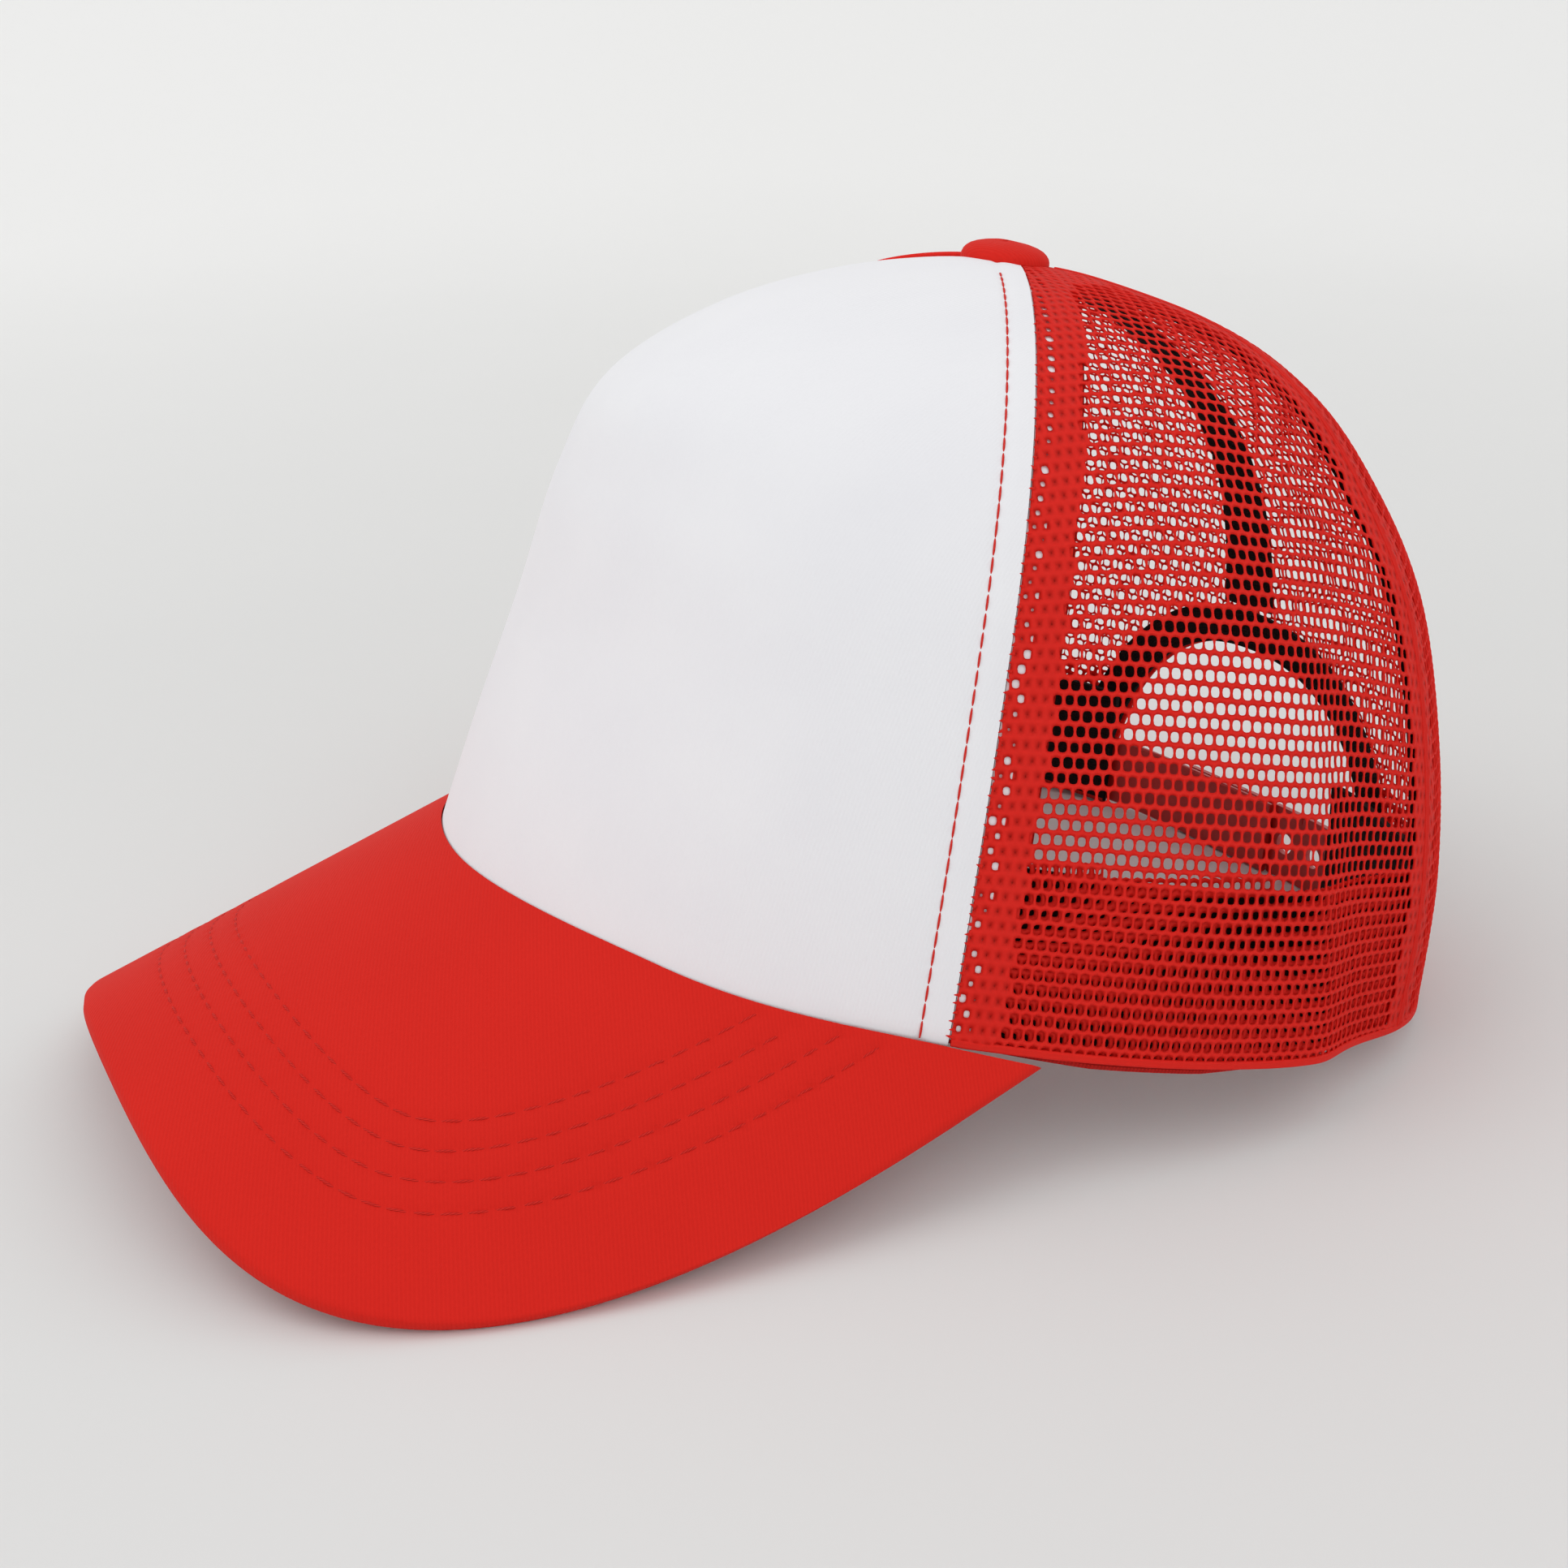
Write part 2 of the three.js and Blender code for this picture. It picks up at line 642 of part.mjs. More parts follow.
// A round plug that stands square to the strap, between two depths
function snapPlug(across, diameter, outerDepth, innerDepth) {
  const position = positionAtHeight(STRAP_LIFT + STRAP_WIDTH / 2);
  const angle = angleAcross(across, position, outerDepth, true);
  const outer = insidePoint(angle, position, outerDepth);
  const inner = insidePoint(angle, position, innerDepth);
  const axis = outer.clone().sub(inner);
  const plug = new THREE.CylinderGeometry(diameter / 2, diameter / 2, axis.length(), SNAP_SIDES);
  const turn = new THREE.Quaternion().setFromUnitVectors(new THREE.Vector3(0, 1, 0), axis.normalize());
  plug.applyQuaternion(turn);
  plug.translate((outer.x + inner.x) / 2, (outer.y + inner.y) / 2, (outer.z + inner.z) / 2);
  return plug;
}

function toSolid(geometry) {
  const plain = geometry.clone();
  plain.deleteAttribute('normal');
  plain.deleteAttribute('uv');
  const merged = mergeVertices(plain);
  return new wasm.Manifold(new wasm.Mesh({
    numProp: 3,
    vertProperties: new Float32Array(merged.getAttribute('position').array),
    triVerts: new Uint32Array(merged.getIndex().array),
  }));
}

function toGeometry(solid) {
  const mesh = solid.getMesh();
  const geometry = new THREE.BufferGeometry();
  geometry.setAttribute('position', new THREE.BufferAttribute(new Float32Array(mesh.vertProperties), 3));
  geometry.setIndex(new THREE.BufferAttribute(new Uint32Array(mesh.triVerts), 1));
  return geometry;
}

const holeDepth = MESH_THICKNESS + TAPE_THICKNESS + 2 * LAYER_GAP;
const studDepth = holeDepth + STRAP_THICKNESS + PIECE_GAP;

function snapAcross(index) {
  return (index - (SNAP_SHARED - 1) / 2) * SNAP_PITCH;
}

// The half with holes is at the wearer's left and lies outside the other
function strapHoleHalf() {
  let solid = toSolid(strapBand(-STRAP_OVERLAP, OPENING_HALF_WIDTH + STRAP_TUCK, holeDepth));
  for (let index = 0; index < SNAP_COUNT; index += 1) {
    const hole = snapPlug(snapAcross(index), HOLE_DIAMETER, holeDepth - 1, holeDepth + STRAP_THICKNESS + 1);
    solid = solid.subtract(toSolid(hole));
  }
  return named('strap_hole_half', toGeometry(solid), redPlastic);
}

function strapStudHalf() {
  let solid = toSolid(strapBand(-OPENING_HALF_WIDTH - STRAP_TUCK, STRAP_OVERLAP, studDepth));
  for (let index = 0; index < SNAP_COUNT; index += 1) {
    const across = snapAcross(SNAP_SHARED - 1 - index);
    const stud = snapPlug(across, STUD_DIAMETER, holeDepth - STUD_PROUD, studDepth + STRAP_THICKNESS / 2);
    solid = solid.add(toSolid(stud));
  }
  return named('strap_stud_half', toGeometry(solid), redPlastic);
}

// The button's underside is hollow, so that it sits down over the crown's peak
function buttonUnderside() {
  const hollowRadius = BUTTON_HOLLOW_SHARE * BUTTON_DIAMETER / 2;
  return [new THREE.Vector2(0, BUTTON_HOLLOW), new THREE.Vector2(hollowRadius, BUTTON_HOLLOW)];
}

// The height of the crown's surface at a place near its peak
function peakHeight(x, y) {
  const angle = Math.atan2(x, -y);
  const spread = Math.hypot(x, y);
  const inward = (position) => -crownRadius(angle, position);
  return crownHeight(solve(inward, CROWN_TOP_ROW - 2, CROWN_TOP_ROW, -spread));
}

// How high the leaning button is carried so that its underside clears the crown by the gap between pieces
function buttonSeat(underside, lean) {
  let seat = 0;
  for (let ring = 0; ring < underside.length - 1; ring += 1) {
    for (let share = 0; share <= BUTTON_SIDES; share += 1) {
      const place = underside[ring].clone().lerp(underside[ring + 1], share / BUTTON_SIDES);
      for (let side = 0; side < BUTTON_SIDES; side += 1) {
        const turn = FULL_TURN * side / BUTTON_SIDES;
        const point = new THREE.Vector3(place.x * Math.cos(turn), place.x * Math.sin(turn), place.y);
        point.applyEuler(lean);
        seat = Math.max(seat, peakHeight(point.x, point.y - BUTTON_FORWARD) - point.z);
      }
    }
  }
  return seat + PIECE_GAP;
}

function button() {
  const outside = BUTTON_PROFILE.map(({ radius, height }) => (
    new THREE.Vector2(radius * BUTTON_DIAMETER / 2, height * BUTTON_HEIGHT)
  ));
  const underside = buttonUnderside();
  const dome = new THREE.LatheGeometry([...underside, ...outside], BUTTON_SIDES);
  dome.rotateX(Math.PI / 2);
  const mesh = named('button', dome, redTwill);
  mesh.rotation.x = radians(BUTTON_LEAN_DEGREES);
  mesh.position.set(0, -BUTTON_FORWARD, buttonSeat([...underside, outside[0]], mesh.rotation));
  return mesh;
}

function seamTapes() {
  const overBand = BAND_HEIGHT + 4 * PIECE_GAP;
  const overArch = OPENING_HEIGHT + BINDING_WIDTH + 2 * PIECE_GAP;
  const half = TAPE_WIDTH / 2;
  const centreHalf = CENTRE_TAPE_WIDTH / 2;
  return [
    seamTape('tape_front_left', FRONT_SEAM_DEGREES, PIECE_GAP, FRONT_TAPE_WIDTH, overBand, redBand),
    seamTape('tape_front_right', -FRONT_SEAM_DEGREES, -FRONT_TAPE_WIDTH, -PIECE_GAP, overBand, redBand),
    seamTape('tape_back_left', BACK_SEAM_DEGREES, -half, half, overBand, darkTape),
    seamTape('tape_back_right', -BACK_SEAM_DEGREES, -half, half, overBand, darkTape),
    seamTape('tape_centre_back', 180, -centreHalf, centreHalf, overArch, darkTape),
  ];
}

const crown = new THREE.Group();
crown.add(
  frontPanel(),
  sidePanel('mesh_side_left', 1),
  sidePanel('mesh_side_right', -1),
  backPanel('mesh_back_left', 1),
  backPanel('mesh_back_right', -1),
  sweatband(),
  openingBinding(),
  ...seamTapes(),
  strapHoleHalf(),
  strapStudHalf(),
  button(),
);

const hat = new THREE.Group();
hat.add(crown, bill());
hat.rotation.x = -ground.tilt;
hat.position.copy(UP).multiplyScalar(-ground.level);
hat.updateMatrixWorld(true);

// The origin is under the middle of the hat's outline
const outline = new THREE.Box3().setFromObject(hat, true);
hat.position.y -= (outline.min.y + outline.max.y) / 2;
hat.position.x -= (outline.min.x + outline.max.x) / 2;

const truckerHat = new THREE.Group();
truckerHat.add(hat);

export default truckerHat;
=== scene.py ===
"""A trucker hat that rests on its bill: knitted mesh, foam front, twill bill, tapes, snaps and stitches."""

import logging
import math
from collections.abc import Callable, Sequence
from dataclasses import dataclass, field
from enum import Enum
from functools import cached_property

import bpy
import numpy as np
from mathutils import Matrix, Vector


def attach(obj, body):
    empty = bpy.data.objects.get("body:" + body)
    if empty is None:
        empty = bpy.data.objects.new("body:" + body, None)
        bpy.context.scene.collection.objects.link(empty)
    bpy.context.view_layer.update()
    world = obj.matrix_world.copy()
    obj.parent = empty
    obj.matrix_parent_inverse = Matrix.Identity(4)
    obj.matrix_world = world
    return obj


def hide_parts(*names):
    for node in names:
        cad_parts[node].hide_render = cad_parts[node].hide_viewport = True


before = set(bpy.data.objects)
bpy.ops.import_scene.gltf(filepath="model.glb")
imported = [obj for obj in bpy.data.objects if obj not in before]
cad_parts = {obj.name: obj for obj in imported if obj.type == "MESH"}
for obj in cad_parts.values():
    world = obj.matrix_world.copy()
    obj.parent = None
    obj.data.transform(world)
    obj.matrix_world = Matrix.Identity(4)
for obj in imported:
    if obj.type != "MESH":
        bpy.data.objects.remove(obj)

LOG = logging.getLogger("trucker_hat")
MM = 0.001
PIECE_GAP = 0.3
FULL_TURN = 2.0 * math.pi
TINY = 1e-12
Array = np.ndarray
Material = bpy.types.Material
Node = bpy.types.Node
Piece = bpy.types.Object
Socket = bpy.types.NodeSocket
Tree = bpy.types.NodeTree


class Side(Enum):
    """The wearer's two sides, as the sign of the crown's angle."""

    LEFT = 1
    RIGHT = -1


class Slot(Enum):
    """The finishes that the part's record names."""

    FOAM = "white_foam"
    MESH = "red_mesh"
    TWILL = "red_twill"
    PLASTIC = "red_plastic"
    BAND = "red_band"
    TAPE = "dark_tape"


def linear(colour: str) -> tuple[float, float, float, float]:
    """Turn an sRGB hex colour into the linear values that a shader takes.

    Args:
        colour: The colour as "#rrggbb".

    Returns:
        Linear red, green and blue, and a full alpha.
    """
    parts = [int(colour[start:start + 2], 16) / 255.0 for start in (1, 3, 5)]
    mixed = [value / 12.92 if value <= 0.04045 else ((value + 0.055) / 1.055) ** 2.4 for value in parts]
    return mixed[0], mixed[1], mixed[2], 1.0


def smooth(share: Array) -> Array:
    """Ease a share from 0 to 1."""
    held = np.clip(share, 0.0, 1.0)
    return held * held * (3.0 - 2.0 * held)


def run_lengths(path: Array) -> Array:
    """Give the length from a path's start to each of its points."""
    return np.concatenate([[0.0], np.cumsum(np.linalg.norm(np.diff(path, axis=0), axis=1))])


def unit(vectors: Array) -> Array:
    """Scale vectors to a length of one."""
    return vectors / (np.linalg.norm(vectors, axis=-1, keepdims=True) + TINY)


def ring_faces(rings: int, sides: int, turned: bool = False, closed: bool = False) -> list[list[int]]:
    """Give the quads between rings of points.

    Args:
        rings: How many rings there are.
        sides: How many points each ring has.
        turned: True where the quads face the other way.
        closed: True where the last ring meets the first.

    Returns:
        Faces as lists of point numbers.
    """
    faces = []
    for ring in range(rings if closed else rings - 1):
        near = ring * sides
        far = (ring + 1) % rings * sides
        for side in range(sides):
            following = (side + 1) % sides
            face = [near + side, near + following, far + following, far + side]
            faces.append([face[0], face[3], face[2], face[1]] if turned else face)
    return faces


def through(table: Sequence[float], position: Array, mirrored: bool = False) -> Array:
    """Read a table between its rows, along a smooth curve.

    Args:
        table: One value per row.
        position: Where to read, counted in rows.
        mirrored: True where the curve runs level at both ends.

    Returns:
        The values there.
    """
    values = np.asarray(table, dtype=float)
    last = len(values) - 1
    row = np.clip(np.floor(position).astype(int), 0, last - 1)
    share = position - row
    before = values[np.abs(row - 1)] if mirrored else values[np.maximum(row - 1, 0)]
    after_row = last - np.abs(last - row - 2) if mirrored else np.minimum(row + 2, last)
    start, end, after = values[row], values[row + 1], values[after_row]
    square = share * share
    cube = square * share
    rise = (cube - 2 * square + share) * (end - before) / 2 + (cube - square) * (after - start) / 2
    return (2 * cube - 3 * square + 1) * start + (3 * square - 2 * cube) * end + rise


@dataclass(frozen=True)
class CrownShape:
    """The crown's surface in millimetres: angle 0 is the front, and position counts its sections.

    The tables hold one value per row, the same ones as the solids that this dresses.
    """

    rim_radius: float = 93.0
    height: float = 119.3
    front_seam: float = math.radians(60.5)
    back_seam: float = math.radians(118.0)
    top_position: float = 7.0
    rim_step: float = 30.0
    rim_shape: tuple[float, ...] = (1.032, 0.976, 0.926, 0.983, 1.067, 1.038, 0.969)
    heights: tuple[float, ...] = (0.0, 0.2, 0.4, 0.6, 0.75, 0.87, 0.95, 1.0)
    front: tuple[float, ...] = (1.0, 0.943, 0.884, 0.843, 0.776, 0.58, 0.33, 0.045)
    seam: tuple[float, ...] = (1.0, 0.967, 0.916, 0.842, 0.723, 0.54, 0.325, 0.05)
    side: tuple[float, ...] = (1.0, 0.982, 0.93, 0.842, 0.722, 0.585, 0.39, 0.05)
    back: tuple[float, ...] = (1.0, 0.965, 0.905, 0.828, 0.711, 0.53, 0.31, 0.05)
    column_degrees: tuple[float, ...] = (0.0, 55.0, 110.0, 180.0)
    crease_heights: tuple[float, ...] = (0.0, 0.25, 0.5, 0.65, 0.8, 0.9, 1.0)
    crease_degrees: tuple[float, ...] = (101.0, 97.6, 95.0, 94.5, 99.5, 106.0, 110.0)
    crease_strength: tuple[float, ...] = (1.0, 1.0, 0.85, 0.7, 0.5, 0.25, 0.0)
    crease_ridge: float = 1.8
    crease_hollow: float = 1.6
    crease_front_degrees: float = 15.0
    crease_back_degrees: float = 5.0
    crease_hollow_degrees: float = 7.0
    crease_step_degrees: float = 10.0
    button_dip: float = 1.3
    dip_radius: float = 9.0
    height_samples: int = 1401
    normal_step: float = 0.002
    halvings: int = 30

    def height_at(self, position: Array) -> Array:
        """Give the height above the rim at a position."""
        return self.height * through(self.heights, np.asarray(position, dtype=float))

    def position_at(self, height: Array) -> Array:
        """Give the position at a height above the rim."""
        steps = np.linspace(0.0, self.top_position, self.height_samples)
        return np.interp(height, self.height_at(steps), steps)

    def row_at(self, height: float) -> float:
        """Give the position at one height above the rim."""
        return float(self.position_at(np.array([height]))[0])

    def crease(self, angle: Array, share: Array) -> Array:
        """Give how far the side crease moves the cloth out.

        Args:
            angle: Angles round the crown.
            share: Shares of the crown's height.

        Returns:
            Distances outward, in millimetres.
        """
        degrees = np.degrees(angle)
        centre = np.interp(share, self.crease_heights, self.crease_degrees)
        strength = np.interp(share, self.crease_heights, self.crease_strength)
        width = np.where(degrees < centre, self.crease_front_degrees, self.crease_back_degrees)
        ridge = self.crease_ridge * np.exp(-((degrees - centre) / width) ** 2)
        past = (degrees - centre - self.crease_step_degrees) / self.crease_hollow_degrees
        return strength * (ridge - self.crease_hollow * np.exp(-past ** 2))

    def radius(self, angle: Array, position: Array) -> Array:
        """Give the crown's radius from its upright axis.

        Args:
            angle: Angles round the crown.
            position: Positions up the crown.

        Returns:
            Radii in millimetres.
        """
        turned = angle - FULL_TURN * np.round(angle / FULL_TURN)
        degrees = np.abs(np.degrees(turned))
        rim = self.rim_radius * through(self.rim_shape, degrees / self.rim_step, mirrored=True)
        columns = [through(table, position) for table in (self.front, self.seam, self.side, self.back)]
        blend = np.zeros_like(degrees)
        for index in range(3):
            low, high = self.column_degrees[index], self.column_degrees[index + 1]
            share = smooth((degrees - low) / (high - low))
            inside = (degrees >= low) & (degrees <= high)
            blend = np.where(inside, columns[index] * (1 - share) + columns[index + 1] * share, blend)
        return rim * blend + self.crease(turned, self.height_at(position) / self.height)

    def point(self, angle: Array, position: Array) -> Array:
        """Give points of the surface.

        Args:
            angle: Angles round the crown.
            position: Positions up the crown.

        Returns:
            The points, with one more axis of length three.
        """
        angle, position = np.broadcast_arrays(np.asarray(angle, float), np.asarray(position, float))
        radius = self.radius(angle, position)
        return np.stack([radius * np.sin(angle), -radius * np.cos(angle), self.height_at(position)], -1)

    def inside(self, angle: Array, position: Array, depth: Array) -> Array:
        """Give points that lie a depth inside the surface.

        Args:
            angle: The angle round the crown.
            position: The position up the crown.
            depth: How deep, in millimetres; below 0 is outside.

        Returns:
            The points, with one more axis of length three.
        """
        step = self.normal_step
        angle, position = np.broadcast_arrays(np.asarray(angle, float), np.asarray(position, float))
        low = np.maximum(position - step, 0.0)
        high = np.minimum(position + step, self.top_position)
        across = self.point(angle + step, position) - self.point(angle - step, position)
        upward = self.point(angle, high) - self.point(angle, low)
        outward = np.cross(across, upward)
        outward /= np.linalg.norm(outward, axis=-1, keepdims=True)
        near = self.point(angle, position)
        dip = self.button_dip * np.exp(-(np.hypot(near[..., 0], near[..., 1]) / self.dip_radius) ** 2)
        return near - outward * (np.asarray(depth, float) + dip)[..., None]

    def shifted(self, angle: Array, position: Array, depth: Array, sideways: Array) -> Array:
        """Give points inside the surface, moved sideways along it.

        Args:
            angle: Angles round the crown.
            position: Positions up the crown.
            depth: How deep inside the surface.
            sideways: How far to move, in millimetres.

        Returns:
            The points, with one more axis of length three.
        """
        near = self.inside(angle, position, depth)
        radius = np.maximum(np.hypot(near[..., 0], near[..., 1]), 1.0)
        return self.inside(angle + sideways / radius, position, depth)

    def angle_across(self, across: Array, position: Array, depth: float) -> Array:
        """Give the angle on the back wall at a distance across from the middle.

        Args:
            across: The distance, in millimetres, positive to the wearer's left.
            position: The position up the crown.
            depth: How deep inside the surface.

        Returns:
            Angles past a quarter turn, or before minus a quarter turn.
        """
        across, position = np.broadcast_arrays(np.asarray(across, float), np.asarray(position, float))
        sign = np.where(across < 0, -1.0, 1.0)
        low = np.zeros_like(across)
        high = np.full_like(across, math.pi / 2)
        for _ in range(self.halvings):
            middle = (low + high) / 2
            points = self.inside(sign * (math.pi - middle), position, np.full_like(middle, depth))
            short = np.abs(points[..., 0]) < np.abs(across)
            low = np.where(short, middle, low)
            high = np.where(short, high, middle)
        return sign * (math.pi - (low + high) / 2)


@dataclass(frozen=True)
class BillShape:
    """The bill's arched surface in millimetres, with its flat pattern and outline.

    Its two corners meet the crown's rim, a little under the rim's level.
    """

    crown: CrownShape
    arch_radius: float = 109.0
    pitch: float = math.radians(28.5)
    corner_angle: float = math.radians(70.8)
    corner_drop: float = 1.1
    reach: float = 111.4
    side_length: float = 10.2
    thickness: float = 3.5
    round_across: float = 4.1
    round_along: float = 2.54
    wall_end: float = math.radians(100.0)
    wall_samples: int = 400
    root_passes: int = 8

    @cached_property
    def corner(self) -> Array:
        """The rim's point where the bill's left corner meets it."""
        return self.crown.point(self.corner_angle, 0.0)

    @cached_property
    def half_arc(self) -> float:
        """Half the bill's width on its flat pattern."""
        return self.arch_radius * math.asin(self.corner[0] / self.arch_radius)

    @cached_property
    def arch_top(self) -> float:
        """The height of the arch's top line over the rim's middle, square to the pitch."""
        rise = -self.corner[1] * math.sin(self.pitch) - self.corner_drop * math.cos(self.pitch)
        return rise + self.arch_radius * (1.0 - math.cos(self.half_arc / self.arch_radius))

    @cached_property
    def corner_reach(self) -> float:
        """How far forward the corners lie on the flat pattern."""
        return -self.corner[1] * math.cos(self.pitch) + self.corner_drop * math.sin(self.pitch)

    def point(self, arc: Array, reach: Array, depth: Array) -> Array:
        """Give points of the bill from its flat pattern.

        Args:
            arc: The distance across the flat pattern, from the middle.
            reach: The distance along the pattern, away from the crown.
            depth: How deep under the top face.

        Returns:
            The points, with one more axis of length three.
        """
        arc, reach, depth = np.broadcast_arrays(*(np.asarray(item, float) for item in (arc, reach, depth)))
        turn = arc / self.arch_radius
        radius = self.arch_radius - depth
        rise = self.arch_top - self.arch_radius + radius * np.cos(turn)
        forward = -reach * math.cos(self.pitch) - rise * math.sin(self.pitch)
        upward = rise * math.cos(self.pitch) - reach * math.sin(self.pitch)
        return np.stack([radius * np.sin(turn), forward, upward], -1)

    def outline(self, arc: Array) -> Array:
        """Give the reach of the bill's outer edge.

        Args:
            arc: Distances across the flat pattern.

        Returns:
            Distances along the flat pattern.
        """
        share = np.clip(np.abs(arc) / self.half_arc, 0.0, 1.0)
        rounded = (1.0 - share ** self.round_across) ** (1.0 / self.round_along)
        return self.corner_reach + self.side_length + self.reach * rounded

    def root(self, arc: Array, depth: float) -> Array:
        """Give the reach at which the bill's surface meets the crown's wall.

        Args:
            arc: Distances across the flat pattern.
            depth: How deep under the top face.

        Returns:
            Distances along the flat pattern.
        """
        arc = np.asarray(arc, float)
        reach = np.full_like(arc, self.corner_reach)
        angles = np.linspace(0.0, self.wall_end, self.wall_samples)
        for _ in range(self.root_passes):
            point = self.point(arc, reach, np.full_like(arc, depth))
            position = self.crown.position_at(np.maximum(point[..., 2], 0.0))
            back = np.empty_like(arc)
            for index, (x, row) in enumerate(zip(np.abs(point[..., 0]), position)):
                wall = self.crown.point(angles, np.full_like(angles, row))
                top = int(np.argmax(wall[:, 0]))
                back[index] = np.interp(x, wall[:top + 1, 0], wall[:top + 1, 1])
            turned = (self.arch_radius - depth) * np.cos(arc / self.arch_radius)
            rise = self.arch_top - self.arch_radius + turned
            reach = (-back - rise * math.sin(self.pitch)) / math.cos(self.pitch)
        return reach


@dataclass(frozen=True)
class RestPose:
    """How the hat leans as it rests: it is turned about its cross axis, moved, and pressed flat below."""

    tilt: float = math.radians(-11.134)
    shift: tuple[float, float, float] = (-0.82, 33.109, 15.783)

    def place(self, points: Array) -> Array:
        """Take points from the crown's own frame to the resting hat's frame.

        Args:
            points: Points in millimetres.

        Returns:
            The same points as the hat rests, still in millimetres.
        """
        cosine, sine = math.cos(self.tilt), math.sin(self.tilt)
        x, y, z = points[..., 0], points[..., 1], points[..., 2]
        placed = np.stack([x, y * cosine - z * sine, y * sine + z * cosine], -1) + np.asarray(self.shift)
        placed[..., 2] = np.maximum(placed[..., 2], 0.0)
        return placed


CROWN = CrownShape()
BILL = BillShape(CROWN)
POSE = RestPose()


@dataclass(frozen=True)
class OpeningShape:
    """The arched opening in the back of the crown, over the strap, in millimetres."""

    half_width: float = 41.0
    height: float = 48.0
    roundness: float = 2.2
    far_away: float = 9.0

    def reach(self, points: Array) -> Array:
        """Give how far points lie from the opening's middle: under 1 is inside it.

        Args:
            points: Points in the crown's own frame.

        Returns:
            One value for each point.
        """
        across = np.abs(points[..., 0]) / self.half_width
        up = np.maximum(points[..., 2], 0.0) / self.height
        value = (across ** self.roundness + up ** self.roundness) ** (1 / self.roundness)
        return np.where(points[..., 1] > 0, value, self.far_away)

    def edge(self, turn: Array) -> tuple[Array, Array]:
        """Follow the arch.

        Args:
            turn: Where along it, from 0 at one foot to half a turn at the other.

        Returns:
            Distances across and heights.
        """
        power = 2 / self.roundness
        cosine = np.cos(turn)
        across = self.half_width * np.abs(cosine) ** power * np.sign(cosine)
        return across, self.height * np.abs(np.sin(turn)) ** power


OPENING = OpeningShape()


def crown_foot() -> Callable[[Array], Array]:
    """Make the function that gives the crown's lower edge over the bill.

    Returns:
        A function from the crown's angle to the height of its lower edge.
    """
    columns = 25
    arcs = np.linspace(0.0, BILL.half_arc, columns)
    seam = BILL.point(arcs, BILL.root(arcs, 0.0), np.zeros_like(arcs))
    angles = np.arctan2(seam[:, 0], -seam[:, 1])
    heights = np.maximum(seam[:, 2], 0.0)
    corner = float(angles[-1])

    def foot(angle: Array) -> Array:
        """Give the height of the crown's lower edge.

        Args:
            angle: Angles round the crown.

        Returns:
            Heights above the rim.
        """
        size = np.abs(angle)
        cover = BILL.thickness * (1.0 - smooth(size / corner))
        return np.where(size > corner, 0.0, np.maximum(np.interp(size, angles, heights) - cover, 0.0))

    return foot


CROWN_FOOT = crown_foot()


def seam_foot(above: float) -> float:
    """Give the front seam's position at a height above the crown's lower edge."""
    return float(CROWN.position_at(CROWN_FOOT(np.array([CROWN.front_seam])) + above)[0])


